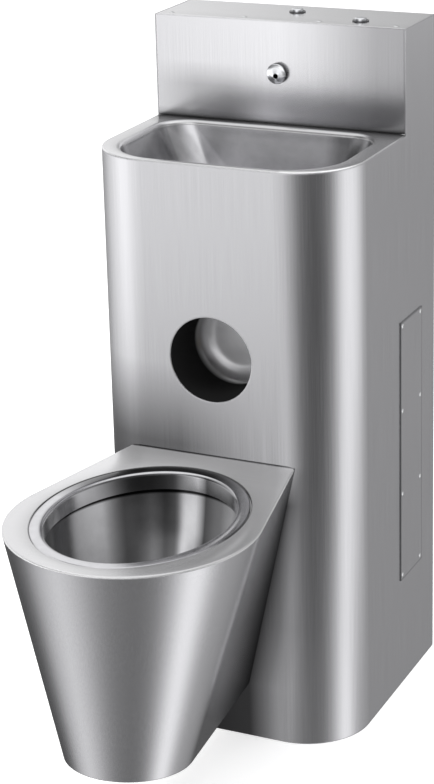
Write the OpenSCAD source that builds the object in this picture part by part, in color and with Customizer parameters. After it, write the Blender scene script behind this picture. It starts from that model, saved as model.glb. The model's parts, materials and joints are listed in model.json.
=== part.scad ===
/* [Body] */
// Width of the column and of the cabinet on top of it
body_w = 390; // [370:1:480]
// Depth of the column, from the wall to its front face
body_d = 370; // [360:1:430]
// Height of the top cover above the floor
body_h = 1000; // [980:1:1100]
// Height of the splash panel over the basin's deck
splash_h = 150; // [120:1:160]
// Radius of the column's two front corners
corner_r = 95; // [80:1:120]
// Depth of the cabinet behind the splashback
box_d = 120; // [115:1:130]
// Thickness of the stainless sheet
sheet = 2; // [1.5:0.1:2.5]
// Width of the flanges that are turned inwards at the wall and at the floor
flange_w = 26; // [20:1:30]

/* [Basin] */
// Width of the bowl's opening
bowl_w = 332; // [300:1:340]
// Width of the deck in front of the bowl
bowl_front_land = 14; // [12:1:30]
// Width of the deck behind the bowl
bowl_back_land = 18; // [16:1:24]
// Depth of the bowl below the deck
bowl_depth = 128; // [110:1:135]
// Radius of the opening's front corners
bowl_front_r = 80; // [60:1:90]
// Radius of the opening's back corners
bowl_back_r = 45; // [30:1:60]
// Distance of the waste from the wall
waste_y = 225; // [222:1:228]
// Radius of the waste outlet's hole
waste_r = 21; // [20:0.5:23]

/* [Roll recess] */
// Radius of the recess for the toilet roll
roll_r = 62; // [58:0.5:66]
// Place of the roll recess between the two decks, as a share of the way up
roll_share = 0.336; // [0.32:0.001:0.36]
// Depth of the recess
roll_depth = 108; // [90:1:110]

/* [Pan] */
// Height of the pan's deck above the floor
pan_h = 430; // [420:1:440]
// Width of the pan's deck at the front circle
pan_w = 344; // [335:1:380]
// Width of the pan's deck where it meets the column
pan_back_w = 250; // [240:1:280]
// How far the pan's deck stands out of the column
pan_reach = 418; // [410:1:460]
// Width of the pan's foot at the front circle
foot_w = 176; // [170:1:200]
// Width of the pan's foot where it meets the column
foot_back_w = 96; // [94:1:110]
// How far the pan's foot stands out of the column
foot_reach = 371; // [360:1:380]
// Height of the foot's underside at the column
foot_h_back = 84; // [75:1:95]
// Height of the foot's underside at its front
foot_h_front = 115; // [105:1:118]
// Width of the rim ring
rim_w = 278; // [272:1:284]
// Length of the rim ring
rim_l = 340; // [330:1:346]
// Width of the ring's flat land
rim_land = 18; // [15:1:22]
// Height of the flushing skirt under the ring
rim_drop = 26; // [24:1:28]
// Distance of the ring's centre in front of the column
rim_y = 224; // [221:1:227]

/* [Controls] */
// Radius of a push-button's cap
button_r = 8.5; // [8:0.1:9]
// Travel of a push-button
button_travel = 4; // [3:0.5:5]
// How far a push-button's cap stands above the cover
button_rise = 5.5; // [5.5:0.5:8]
// Distance of the tap button from the wall
tap_button_y = 46; // [44:1:50]
// Distance of the flush button from the centre plane
flush_button_x = 113; // [105:1:118]
// Distance of the flush button from the wall
flush_button_y = 83; // [78:1:86]
// Radius of the water outlet's head
spout_r = 15; // [13:0.5:18]
// Distance of the nozzle's centre under the top cover
spout_drop = 75; // [65:1:85]

/* [Service hatch] */
// Width of the hatch on the right side
hatch_w = 88; // [84:1:92]
// Height of the hatch
hatch_h = 405; // [380:1:420]
// Height of the hatch's lower edge above the floor
hatch_low = 172; // [150:1:190]
// Distance of the hatch from the wall
hatch_back = 56; // [54:1:60]
// Rows of hatch screws
hatch_rows = 4; // [3:1:6]

/* [Plumbing] */
// Outer radius of the soil outlet
soil_r = 51; // [50:0.5:52]
// Height of the soil outlet's centre above the floor
soil_h = 266; // [264:1:272]
// Outer radius of the basin waste pipe
drain_r = 16; // [15:0.5:18]
// Drop from the basin's floor to the waste pipe's centre
drain_drop = 58; // [54:1:62]
// Distance of the flush valve from the centre plane
valve_x = 135; // [130:1:136]
// Distance of the flush valve from the wall
valve_y = 125; // [122:1:128]
// Height of the two water inlets above the floor
inlet_h = 515; // [505:1:520]
// Distance of the tap's inlet from the centre plane
tap_inlet_x = 80; // [74:1:82]

/* [Hidden] */
$fn = 72;

steel = "silver";
bright = "gainsboro";
deck_h = body_h - splash_h;
roll_h = pan_h + roll_share * (deck_h - pan_h);
spout_h = body_h - spout_drop;
drain_h = deck_h - bowl_depth - drain_drop;
cut = 1;
pipe_wall = 2;
loose_fit = 0.2;
thread_fit = 0.1;
shank_fit = 0.3;
spindle_fit = 0.05;
in_w = body_w - 2 * sheet;
cover_gap = 0.5;
screw_r = 2.6;
screw_head_r = 4;
screw_head_h = 1.2;
screw_dome_r = 9;
screw_drive_r = 1.5;
cover_screw_l = 9;
hatch_screw_l = 8;
ledge_w = 30;
side_ledge_w = 16;
locknut_clear_r = 19;
cover_screw_count = 4;
cover_screw_inset = 16;
cover_screw_y = box_d - cover_screw_inset;
cover_screw_end = 20;
cover_screw_pitch = (body_w - 2 * cover_screw_end) / (cover_screw_count - 1);
outline_steps = 10;

bowl_y0 = -(body_d - bowl_front_land);
bowl_y1 = -(box_d + bowl_back_land);
bowl_floor_w = 150;
bowl_floor_l = 96;
bowl_floor_r = 40;
bowl_lip = 7;
tail_dip = 10;
tail_low = drain_h - tail_dip;
strainer_t = 2.5;
strainer_neck = 5;
strainer_lip = 8;
grid_r = 12.5;
grid_hole_r = 3.2;
grid_holes = 6;
washer_t = 3;
waste_flange = 7;
waste_nut_h = 9;
trap_r = 27;
drain_run = 172;
spigot_l = 60;
trap_neck_h = 7;
trap_neck = drain_h + drain_r + trap_neck_h;
trap_drop = 74;
trap_low = drain_h - trap_drop;
trap_wall = 2.5;
trap_cup_h = 22;
trap_cup_step = 6;
trap_end_t = 3;
trap_socket = 20;
trap_arm_wall = 5;

pan_deck_t = 3;
pan_weld = 8;
pan_circle_r = pan_w / 2;
foot_circle_r = foot_w / 2;
pan_steps = 48;
rim_cy = -(body_d + rim_y);
rim_gap = 1;
skirt_w = rim_w - 2 * rim_land;
skirt_l = rim_l - 2 * rim_land;
pan_bowl_flange = 10;
trap_out = 202;
trap_y = body_d + trap_out;
trap_tube_r = 38;
trap_wall_t = 2;
trap_land = 3;
trap_turn_r = trap_tube_r + trap_land;
trap_dip_h = 143;
trap_straight = 7;
pan_bowl_floor_h = trap_dip_h + trap_turn_r + trap_straight;
bowl_inset = 16;
soil_run = 180;
riser_gap = 8;
riser_y = body_d - sheet - trap_tube_r - riser_gap;
soil_entry = 10;
seal_back = 20;
seal_l = 18;
seal_wall = 7;
shell_tail = 20;
shell_over = 0.05;
gusset_t = 4;
gusset_out = 16;
gusset_h = 110;
gusset_foot = 60;
flush_drop = 28;
flush_h = pan_h - flush_drop;
flush_r = 14;
flush_turn_r = 32;
flush_end = 12;
flush_seal_l = 16;
flush_seal_wall = 4;
flush_seal_lap = 3;

hatch_land = 12;
hatch_screw_inset = 7;
hatch_cy = -(hatch_back + hatch_w / 2);
hatch_cz = hatch_low + hatch_h / 2;
hatch_t = 1.5;
frame_t = 3;
frame_lap = 6;

sleeve_r = 10.5;
sleeve_l = 40;
sleeve_low = body_h - sleeve_l;
sleeve_lip = 1.5;
locknut_r = 16;
locknut_h = 7;
running_fit = 0.08;
sleeve_bore_r = button_r + running_fit;
sleeve_floor = 3;
cap_skirt = 10;
stem_r = 3;
stem_bore_r = stem_r + running_fit;
sleeve_rim = 1.5;
valve_r = 18;
valve_bore_r = 9;
tap_valve_l = 58;
tap_valve_low = sleeve_low - tap_valve_l;
tap_tail_h = 10;
tap_tail_r = 11;
tap_tail_bore_r = 5;
air_l = 32;
air_low = sleeve_low - air_l;
air_wall = 3;
air_nipple_h = 10;
air_nipple_r = 5;
air_bore_r = 1.5;
spout_shank_r = 8;
spout_shank_l = 30;
spout_reach = 14;
spout_rim = 5;
spout_step = 1.5;
spout_crown = 3;
spout_nose_r = 4;
jet_r = 2.4;
jet_l = 12;
jet_drop = 3;
spout_nut_r = 14;
spout_nut_h = 6;
spout_washer_t = 2;
feed_r = 6;
feed_cup = 6;
feed_cup_wall = 3;
feed_seat = 0.8;

flush_valve_r = 25;
flush_valve_drop = 43;
flush_valve_rise = 41;
flush_valve_low = inlet_h - flush_valve_drop;
flush_valve_top = inlet_h + flush_valve_rise;
flush_valve_wall = 5;
flush_socket_h = 14;
flush_socket_wall = 5;
flush_chamber_floor = 29;
flush_cover_h = 34;
flush_cover_lap = 3;
flush_dome_h = 12;
flush_dome_r = 14;
stop_r = 16;
tap_stop_r = 13;
stop_wall_l = 30;
flush_stop_y = 96;
flush_spindle_y = 62;
spindle_boss = 8;
spindle_boss_r = 9;
spindle_gap = 0.3;
tap_stop_y = 62;
tap_stop_l = 34;
tap_spindle_y = 70;
tap_boss_r = 8;
tap_boss_l = 10;
tap_riser_y = 50;
tap_riser_h = 30;
tap_riser_r = 9;
tap_riser_bore_r = 5;
lever_t = 3;
lever_hub = 2;
lever_hole_r = 2;
tap_lever_share = 0.8;
lever_l = 44;
lever_w = 12;
spindle_r = 4;
inlet_bore = 0.72;
hose_r = 6;
air_r = 3;
air_lead = 0.457;
hose_lead = 0.504;
soft_steps = 36;
soft_sides = 16;
rail_h = 34;
rail_d = 24;
rail_edge = 60;
rail_t = 3;
rail_hole_x = 150;
rail_hole_r = 5.5;
upper_rail_z = body_h - rail_edge;
lower_rail_z = rail_edge;

function on_arc(cx, cy, r, a0, a1, n) =
    [for (i = [0:n]) let (a = a0 + (a1 - a0) * i / n) [cx + r * cos(a), cy + r * sin(a)]];

// Counter-clockwise outline of a rectangle whose front and back corners have their own radii
function rounded_box(w, y0, y1, front_r, back_r, n = outline_steps) = concat(
    on_arc(w / 2 - back_r, y1 - back_r, back_r, 0, 90, n),
    on_arc(-w / 2 + back_r, y1 - back_r, back_r, 90, 180, n),
    on_arc(-w / 2 + front_r, y0 + front_r, front_r, 180, 270, n),
    on_arc(w / 2 - front_r, y0 + front_r, front_r, 270, 360, n));

function oval(w, l, cy, n = 72) =
    [for (i = [0:n - 1]) [w / 2 * cos(360 * i / n), cy + l / 2 * sin(360 * i / n)]];

// The pan's plan: a front circle and the two tangents that run back to the column
function pan_tangent(back_w, r, reach) =
    let (dx = back_w / 2, dy = reach - r, far = norm([dx, dy]))
    acos(r / far) - atan2(dy, dx);
function pan_plan(back_w, r, reach, n = pan_steps) =
    let (cy = -(body_d + reach - r), a = -pan_tangent(back_w, r, reach))
    concat([[-back_w / 2, -body_d]], on_arc(0, cy, r, -180 - a, a, n), [[back_w / 2, -body_d]]);

function at_height(plan, z) = [for (p = plan) [p.x, p.y, z]];
function on_slope(plan, z_back, z_front, y_back, y_front) =
    [for (p = plan) [p.x, p.y, z_back + (z_front - z_back) * (y_back - p.y) / (y_back - y_front)]];
function blend(a, b, t) = [for (i = [0:len(a) - 1]) a[i] * (1 - t) + b[i] * t];

// A solid skin through rings of equal length, from the lowest to the highest
module skin(rings) {
    n = len(rings[0]);
    k = len(rings);
    polyhedron(
        points = [for (ring = rings, p = ring) p],
        faces = concat(
            [[for (i = [0:n - 1]) i]],
            [[for (i = [n - 1:-1:0]) (k - 1) * n + i]],
            [for (j = [0:k - 2], i = [0:n - 1]) [j * n + i, (j + 1) * n + i, j * n + (i + 1) % n]],
            [for (j = [0:k - 2], i = [0:n - 1])
                [j * n + (i + 1) % n, (j + 1) * n + i, (j + 1) * n + (i + 1) % n]]),
        convexity = 6);
}

module rod(a, b, r) {
    d = b - a;
    far = norm(d);
    translate(a)
        rotate([0, acos(max(-1, min(1, d.z / far))), atan2(d.y, d.x)])
            cylinder(h = far, r = r);
}

// A quarter or lesser turn of tube at the corner p, on the way from a to b
module elbow(a, p, b, r, turn_r) {
    u = (p - a) / norm(p - a);
    v = (b - p) / norm(b - p);
    sweep = acos(u * v);
    n = (v - u * (u * v)) / norm(v - u * (u * v));
    c = p - u * turn_r * tan(sweep / 2) + n * turn_r;
    w = cross(-n, u);
    multmatrix([
        [-n.x, u.x, w.x, c.x],
        [-n.y, u.y, w.y, c.y],
        [-n.z, u.z, w.z, c.z],
        [0, 0, 0, 1]])
        rotate_extrude(angle = sweep)
            translate([turn_r, 0])
                circle(r);
}

function setback(a, p, b, turn_r) =
    let (u = (p - a) / norm(p - a), v = (b - p) / norm(b - p)) turn_r * tan(acos(u * v) / 2);

// A round rod along straight runs with an elbow at each corner
module bent_rod(pts, r, turn_r) {
    last = len(pts) - 1;
    for (i = [0:last - 1]) {
        a = pts[i];
        b = pts[i + 1];
        u = (b - a) / norm(b - a);
        s0 = i == 0 ? 0 : setback(pts[i - 1], a, b, turn_r);
        s1 = i == last - 1 ? 0 : setback(a, b, pts[i + 2], turn_r);
        rod(a + u * s0, b - u * s1, r);
    }
    for (i = [1:last - 1])
        elbow(pts[i - 1], pts[i], pts[i + 1], r, turn_r);
}

module bent_tube(pts, r, wall, turn_r) {
    difference() {
        bent_rod(pts, r, turn_r);
        bent_rod(pts, r - wall, turn_r);
    }
}

module along_y(x, y, z, h, r) {
    translate([x, y, z])
        rotate([-90, 0, 0])
            cylinder(h = h, r = r);
}

module along_x(x, y, z, h, r) {
    translate([x, y, z])
        rotate([0, 90, 0])
            cylinder(h = h, r = r);
}

// Plan of the column, taken in by t on every side but the wall's
module column_plan(t = 0) {
    translate([-body_w / 2 + t, -body_d + corner_r])
        square([body_w - 2 * t, body_d - corner_r]);
    translate([-body_w / 2 + corner_r, -body_d + t])
        square([body_w - 2 * corner_r, corner_r]);
    for (side = [-1, 1])
        translate([side * (body_w / 2 - corner_r), -body_d + corner_r])
            circle(corner_r - t);
}

module hatch_hole(grow, depth, x) {
    translate([x, hatch_cy - hatch_w / 2 - grow, hatch_low - grow])
        cube([depth, hatch_w + 2 * grow, hatch_h + 2 * grow]);
}

module at_hatch_screws() {
    pitch = (hatch_h - 2 * hatch_screw_inset) / (hatch_rows - 1);
    for (side = [-1, 1], row = [0:hatch_rows - 1])
        translate([
            body_w / 2 + hatch_t,
            hatch_cy + side * (hatch_w / 2 - hatch_screw_inset),
            hatch_low + hatch_screw_inset + row * pitch])
            rotate([0, 90, 0])
                children();
}

module at_cover_screws() {
    for (i = [0:cover_screw_count - 1])
        translate([(i - (cover_screw_count - 1) / 2) * cover_screw_pitch, -cover_screw_y, body_h])
            children();
}

// Wrapped sheet of the column and of the cabinet's sides, with its wall and floor flanges
module body_shell() {
    color(steel)
    difference() {
        union() {
            difference() {
                union() {
                    linear_extrude(deck_h - sheet) column_plan();
                    translate([-body_w / 2, -box_d, 0]) cube([body_w, box_d, body_h]);
                }
                translate([0, 0, -cut])
                    linear_extrude(deck_h + 2 * cut) column_plan(sheet);
                translate([-in_w / 2, -box_d - cut, deck_h - sheet])
                    cube([in_w, box_d + 2 * cut, splash_h + 2 * sheet]);
                translate([-in_w / 2, -cut, -cut]) cube([in_w, 2 * cut, body_h + 2 * cut]);
            }
            for (side = [-1, 1])
                translate([side * (body_w / 2 - flange_w / 2) - flange_w / 2, -sheet, 0])
                    cube([flange_w, sheet, body_h - 2 * sheet]);
            linear_extrude(sheet)
                difference() {
                    column_plan();
                    column_plan(flange_w);
                    translate([-in_w / 2, -flange_w * 2]) square([in_w, flange_w * 3]);
                }
        }
        along_y(0, -body_d - cut, roll_h, sheet + 2 * cut, roll_r);
        translate([0, -body_d + 2 * sheet, 0])
            rotate([90, 0, 0])
                linear_extrude(3 * sheet)
                    polygon([
                        [-foot_back_w / 2 + pan_weld, foot_h_back + pan_weld],
                        [foot_back_w / 2 - pan_weld, foot_h_back + pan_weld],
                        [pan_back_w / 2 - pan_weld, pan_h - pan_weld],
                        [-pan_back_w / 2 + pan_weld, pan_h - pan_weld]]);
        hatch_hole(-hatch_land, 4 * sheet, body_w / 2 - 2 * sheet);
        at_hatch_screws() translate([0, 0, -3 * sheet]) cylinder(h = 4 * sheet, r = screw_r);
    }
}

module floor_bar() {
    color(steel)
    difference() {
        translate([-in_w / 2, -2 * flange_w, 0]) cube([in_w, 2 * flange_w, rail_t]);
        for (side = [-1, 1])
            translate([side * rail_hole_x, -flange_w, -cut]) cylinder(h = rail_t + 2 * cut, r = rail_hole_r);
        for (side = [-1, 1])
            translate([side * (body_w / 2 - flange_w / 2) - flange_w / 2, -sheet, -cut])
                cube([flange_w, sheet + cut, rail_t + 2 * cut]);
    }
}

// Channel that carries two wall bolts, between the side flanges
module wall_rail(z) {
    w = body_w - 2 * flange_w;
    color(steel)
    difference() {
        translate([-w / 2, -rail_d, z - rail_h / 2]) cube([w, rail_d, rail_h]);
        translate([-w / 2 - cut, -rail_d - cut, z - rail_h / 2 + rail_t])
            cube([w + 2 * cut, rail_d + cut - rail_t, rail_h - 2 * rail_t]);
        for (side = [-1, 1])
            along_y(side * rail_hole_x, -rail_t - cut, z, rail_t + 2 * cut, rail_hole_r);
    }
}
module upper_wall_rail() { wall_rail(upper_rail_z); }
module lower_wall_rail() { wall_rail(lower_rail_z); }

module splashback() {
    z0 = deck_h;
    color(steel)
    difference() {
        union() {
            translate([-in_w / 2, -box_d, z0]) cube([in_w, sheet, body_h - z0]);
            translate([-in_w / 2, -box_d, body_h - 2 * sheet]) cube([in_w, ledge_w, sheet]);
            translate([-in_w / 2, -ledge_w, body_h - 2 * sheet]) cube([in_w, ledge_w, sheet]);
            for (side = [-1, 1])
                translate([side * (in_w / 2 - side_ledge_w / 2) - side_ledge_w / 2, -box_d,
                    body_h - 2 * sheet])
                    cube([side_ledge_w, box_d, sheet]);
        }
        along_y(0, -box_d - cut, spout_h, sheet + 2 * cut, spout_shank_r + shank_fit);
        at_cover_screws() translate([0, 0, -3 * sheet]) cylinder(h = 3 * sheet, r = screw_r);
        translate([0, -tap_button_y, body_h - 3 * sheet]) cylinder(h = 3 * sheet, r = locknut_clear_r);
        translate([flush_button_x, -flush_button_y, body_h - 3 * sheet])
            cylinder(h = 3 * sheet, r = locknut_clear_r);
    }
}

module top_cover() {
    color(steel)
    difference() {
        translate([-in_w / 2 + cover_gap, -box_d + sheet + cover_gap, body_h - sheet])
            cube([in_w - 2 * cover_gap, box_d - sheet - cover_gap, sheet]);
        at_cover_screws() translate([0, 0, -2 * sheet]) cylinder(h = 3 * sheet, r = screw_r);
        for (at = [[0, -tap_button_y], [flush_button_x, -flush_button_y]])
            translate([at.x, at.y, body_h - 2 * sheet]) cylinder(h = 3 * sheet, r = sleeve_r + loose_fit);
    }
}

// Button-head security screw whose head rests on z = 0
module screw(length) {
    difference() {
        union() {
            intersection() {
                cylinder(h = screw_head_h, r = screw_head_r);
                translate([0, 0, screw_head_h - screw_dome_r]) sphere(r = screw_dome_r);
            }
            translate([0, 0, -length]) cylinder(h = length, r = screw_r - thread_fit);
        }
        translate([0, 0, screw_head_h / 2]) cylinder(h = 2 * screw_head_h, r = screw_drive_r, $fn = 6);
    }
}

module cover_screws() { color(bright) at_cover_screws() screw(cover_screw_l); }

module basin_deck() {
    opening = rounded_box(bowl_w, bowl_y0, bowl_y1, bowl_front_r, bowl_back_r);
    color(steel)
    translate([0, 0, deck_h - sheet])
        linear_extrude(sheet)
            difference() {
                union() {
                    intersection() {
                        column_plan();
                        translate([-body_w / 2, -body_d]) square([body_w, body_d - box_d]);
                    }
                    translate([-in_w / 2, -box_d - cut]) square([in_w, sheet + cut]);
                }
                polygon(opening);
            }
}

// Rings of the bowl's inside from its floor up; grow moves them outwards by a wall
function bowl_ring(t, z, grow) = at_height(
    blend(
        rounded_box(bowl_w + 2 * grow, bowl_y0 - grow, bowl_y1 + grow,
            bowl_front_r + grow, bowl_back_r + grow),
        rounded_box(bowl_floor_w + 2 * grow, -waste_y - bowl_floor_l / 2 - grow,
            -waste_y + bowl_floor_l / 2 + grow, bowl_floor_r + grow, bowl_floor_r + grow),
        t),
    z);
bowl_sump_r = 34;
bowl_profile = [[1.12, 0.975], [1, 0.93], [0.86, 0.84], [0.68, 0.68], [0.48, 0.49], [0.26, 0.27],
    [0.1, 0.11], [0, 0.03]];
function bowl_rings(grow, drop) = concat(
    [at_height(rounded_box(2 * (bowl_sump_r + grow), -waste_y - bowl_sump_r - grow,
        -waste_y + bowl_sump_r + grow, bowl_sump_r + grow, bowl_sump_r + grow),
        deck_h - bowl_depth - drop)],
    [for (p = bowl_profile) bowl_ring(p[0], deck_h - bowl_depth * p[1] - drop, grow)]);

module basin_bowl() {
    top = deck_h - sheet;
    color(steel)
    difference() {
        union() {
            skin(concat(bowl_rings(sheet, sheet), [bowl_ring(0, top, sheet)]));
            translate([0, 0, top - sheet])
                linear_extrude(sheet)
                    polygon(rounded_box(bowl_w + 2 * bowl_lip, bowl_y0 - bowl_lip, bowl_y1 + bowl_lip,
                        bowl_front_r + bowl_lip, bowl_back_r + bowl_lip));
        }
        skin(concat(bowl_rings(0, 0), [bowl_ring(0, deck_h + cut, 0)]));
        translate([0, -waste_y, deck_h - 2 * bowl_depth])
            cylinder(h = 2 * bowl_depth, r = waste_r);
    }
}

bowl_floor_z = deck_h - bowl_depth;

// Domed grid that is bolted into the bowl's outlet
module basin_strainer() {
    color(bright)
    difference() {
        union() {
            translate([0, -waste_y, bowl_floor_z - strainer_neck])
                cylinder(h = strainer_neck, r = waste_r - shank_fit);
            translate([0, -waste_y, bowl_floor_z]) cylinder(h = strainer_t, r = waste_r + strainer_lip);
        }
        translate([0, -waste_y, bowl_floor_z - strainer_neck - cut])
            cylinder(h = strainer_neck, r = waste_r - strainer_t);
        for (i = [0:grid_holes - 1])
            translate([
                grid_r * cos(360 * i / grid_holes),
                -waste_y + grid_r * sin(360 * i / grid_holes),
                bowl_floor_z - 2 * strainer_neck])
                cylinder(h = 4 * strainer_neck, r = grid_hole_r, $fn = 24);
        translate([0, -waste_y, bowl_floor_z - 2 * strainer_neck])
            cylinder(h = 4 * strainer_neck, r = grid_hole_r, $fn = 24);
    }
}

module waste_washer() {
    color("dimgray")
    translate([0, -waste_y, bowl_floor_z - sheet - washer_t])
        difference() {
            cylinder(h = washer_t, r = waste_r + waste_flange);
            translate([0, 0, -cut]) cylinder(h = washer_t + 2 * cut, r = waste_r);
        }
}

module waste_tail() {
    top = bowl_floor_z - sheet - 2 * washer_t;
    color(bright)
    translate([0, -waste_y, 0])
        difference() {
            union() {
                translate([0, 0, tail_low]) cylinder(h = top - tail_low, r = drain_r);
                translate([0, 0, top]) cylinder(h = washer_t, r = waste_r + waste_flange);
            }
            translate([0, 0, tail_low - cut])
                cylinder(h = top + washer_t - tail_low + 2 * cut, r = drain_r - pipe_wall);
        }
}

// Six-sided union nut round a pipe of radius r
module hex_nut(r, bore, h) {
    difference() {
        cylinder(h = h, r = r, $fn = 6);
        translate([0, 0, -cut]) cylinder(h = h + 2 * cut, r = bore);
    }
}

module waste_nut() {
    color("whitesmoke")
    translate([0, -waste_y, trap_neck])
        difference() {
            cylinder(h = waste_nut_h, r = trap_r);
            translate([0, 0, -cut]) cylinder(h = waste_nut_h + 2 * cut, r = drain_r + loose_fit);
        }
}

module bottle_trap() {
    color("whitesmoke")
    difference() {
        union() {
            translate([0, -waste_y, trap_low + trap_cup_h])
                cylinder(h = trap_neck - trap_low - trap_cup_h, r = trap_r - cut);
            along_y(0, -waste_y, drain_h, waste_y - drain_run + trap_socket, drain_r + trap_arm_wall);
        }
        translate([0, -waste_y, trap_low])
            cylinder(h = trap_neck - trap_end_t - trap_low, r = trap_r - cut - trap_wall);
        translate([0, -waste_y, drain_h]) cylinder(h = 2 * trap_socket, r = drain_r + loose_fit);
        along_y(0, -waste_y, drain_h, waste_y, drain_r + pipe_wall + loose_fit);
    }
}

module trap_cup() {
    color("whitesmoke")
    translate([0, -waste_y, trap_low])
        difference() {
            union() {
                cylinder(h = trap_cup_h, r = trap_r);
                translate([0, 0, -trap_end_t]) cylinder(h = trap_end_t, r = trap_r - trap_cup_step);
            }
            translate([0, 0, trap_end_t]) cylinder(h = trap_cup_h, r = trap_r - cut - trap_wall);
        }
}

module drain_pipe() {
    color("whitesmoke")
    difference() {
        union() {
            along_y(0, -drain_run, drain_h, drain_run - spigot_l, drain_r + pipe_wall);
            along_y(0, -spigot_l - cut, drain_h, spigot_l + cut, drain_r);
        }
        along_y(0, -drain_run - cut, drain_h, drain_run + 2 * cut, drain_r - pipe_wall);
    }
}

cup_fillet = 22;
cup_flange = 12;

// Half section of a cup with a rounded bottom corner
module cup_section(r, depth, fillet) {
    square([r, depth - fillet]);
    square([r - fillet, depth]);
    translate([r - fillet, depth - fillet]) circle(fillet);
}

module roll_cup() {
    color(steel)
    translate([0, -body_d + sheet, roll_h])
        rotate([-90, 0, 0])
            rotate_extrude()
                difference() {
                    union() {
                        cup_section(roll_r + sheet, roll_depth, cup_fillet + sheet);
                        square([roll_r + cup_flange, sheet]);
                    }
                    translate([0, -cut]) cup_section(roll_r, roll_depth - sheet + cut, cup_fillet);
                    translate([-2 * roll_r, -2 * roll_r]) square([2 * roll_r, 6 * roll_r]);
                }
}

// One ring of the pan's skin, taken in by t: at the foot, and right under the deck
function pan_low(t) = on_slope(
    pan_plan(foot_back_w - 2 * t, foot_circle_r - t, foot_reach - t),
    foot_h_back + t, foot_h_front + t, -body_d, -(body_d + foot_reach));
function pan_high(t) = at_height(
    pan_plan(pan_back_w - 2 * t, pan_circle_r - t, pan_reach - t), pan_h - pan_deck_t);

// The pan's space taken in by t, carried back by tail and up by over, a share of its height
function pushed(p, q, tail) = p + (p - q) * tail / norm(p - q);
function carried_back(ring, tail) =
    let (n = len(ring))
    [for (i = [0:n - 1])
        i == 0 ? pushed(ring[0], ring[1], tail) :
        i == n - 1 ? pushed(ring[n - 1], ring[n - 2], tail) :
        ring[i]];
module pan_space(t, tail, over) {
    high = blend(pan_low(t), pan_high(t), 1 + over);
    skin(tail > 0
        ? [carried_back(pan_low(t), tail), carried_back(high, tail)]
        : [pan_low(t), high]);
}

// Tapered skin of the pan, with its foot: one folded sheet that is open at the top and at the back
module pan_shell() {
    color(steel)
    difference() {
        pan_space(0, 0, 0);
        pan_space(sheet, shell_tail, shell_over);
    }
}

module pan_deck() {
    color(steel)
    translate([0, 0, pan_h - pan_deck_t])
        linear_extrude(pan_deck_t)
            difference() {
                polygon(pan_plan(pan_back_w, pan_circle_r, pan_reach));
                polygon(oval(rim_w + 2 * rim_gap, rim_l + 2 * rim_gap, rim_cy));
            }
}

// Pressed ring with the skirt that spreads the flush round the bowl
module rim_ring() {
    color(bright)
    difference() {
        union() {
            translate([0, 0, pan_h - pan_deck_t])
                linear_extrude(pan_deck_t) polygon(oval(rim_w, rim_l, rim_cy));
            translate([0, 0, pan_h - rim_drop])
                linear_extrude(rim_drop) polygon(oval(skirt_w + 2 * sheet, skirt_l + 2 * sheet, rim_cy));
        }
        translate([0, 0, pan_h - rim_drop - cut])
            linear_extrude(rim_drop + 2 * cut) polygon(oval(skirt_w, skirt_l, rim_cy));
    }
}

pan_bowl_profile = [
    [1, 1], [0.97, 0.985], [0.82, 0.93], [0.55, 0.8], [0.3, 0.62], [0.14, 0.42], [0.06, 0.25],
        [0.02, 0.12], [0, 0.02]];
function pan_bowl_rings(grow) = [
    for (p = pan_bowl_profile)
        at_height(
            blend(
                oval(rim_w - bowl_inset + 2 * grow, rim_l - bowl_inset + 2 * grow, rim_cy),
                oval(2 * (trap_turn_r + grow), 2 * (trap_turn_r + grow), -trap_y),
                p[0]),
            pan_h - pan_deck_t - (pan_h - pan_deck_t - pan_bowl_floor_h) * p[1] - grow)];

module pan_bowl() {
    top = pan_h - pan_deck_t;
    rim = oval(rim_w - bowl_inset, rim_l - bowl_inset, rim_cy);
    color(steel)
    difference() {
        union() {
            skin(concat(pan_bowl_rings(sheet), [at_height(
                oval(rim_w - bowl_inset + 2 * sheet, rim_l - bowl_inset + 2 * sheet, rim_cy), top)]));
            translate([0, 0, top - sheet])
                linear_extrude(sheet)
                    polygon(oval(rim_w + 2 * pan_bowl_flange, rim_l + 2 * pan_bowl_flange, rim_cy));
        }
        skin(concat(pan_bowl_rings(0), [at_height(rim, top + cut)]));
        translate([0, -trap_y, pan_bowl_floor_h - trap_turn_r / 2])
            cylinder(h = trap_turn_r, r = trap_tube_r - trap_wall_t);
        along_y(0, rim_cy, flush_h, rim_l, flush_r + shank_fit);
    }
}

pan_trap_route = [
    [0, -trap_y, pan_bowl_floor_h - sheet],
    [0, -trap_y, trap_dip_h],
    [0, -riser_y, trap_dip_h],
    [0, -riser_y, soil_h],
    [0, -soil_run, soil_h]];

module pan_trap() {
    color(steel) bent_tube(pan_trap_route, trap_tube_r, trap_wall_t, trap_turn_r);
}

module soil_outlet() {
    color(steel)
    difference() {
        union() {
            along_y(0, -soil_run, soil_h, soil_run - spigot_l, soil_r + pipe_wall);
            along_y(0, -spigot_l - cut, soil_h, spigot_l + cut, soil_r);
        }
        along_y(0, -soil_run + sheet, soil_h, soil_run, soil_r - sheet);
        along_y(0, -soil_run - cut, soil_h, soil_entry, trap_tube_r - trap_wall_t);
    }
}

module soil_seal() {
    color("dimgray")
    difference() {
        along_y(0, -spigot_l - seal_back, soil_h, seal_l, soil_r + seal_wall);
        along_y(0, -spigot_l - 1.5 * seal_back, soil_h, 2 * seal_back, soil_r + pipe_wall + loose_fit);
    }
}

// Two plates that carry the pan's load from the column's front to its floor flange
module pan_gussets() {
    x = foot_back_w / 2 + gusset_out;
    color(steel)
    for (side = [-1, 1])
        translate([side * x + gusset_t / 2, 0, 0])
            rotate([90, 0, -90])
                linear_extrude(gusset_t)
                    polygon([
                        [body_d - sheet, sheet],
                        [body_d - sheet, gusset_h],
                        [2 * flange_w + gusset_foot, sheet]]);
}

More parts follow.
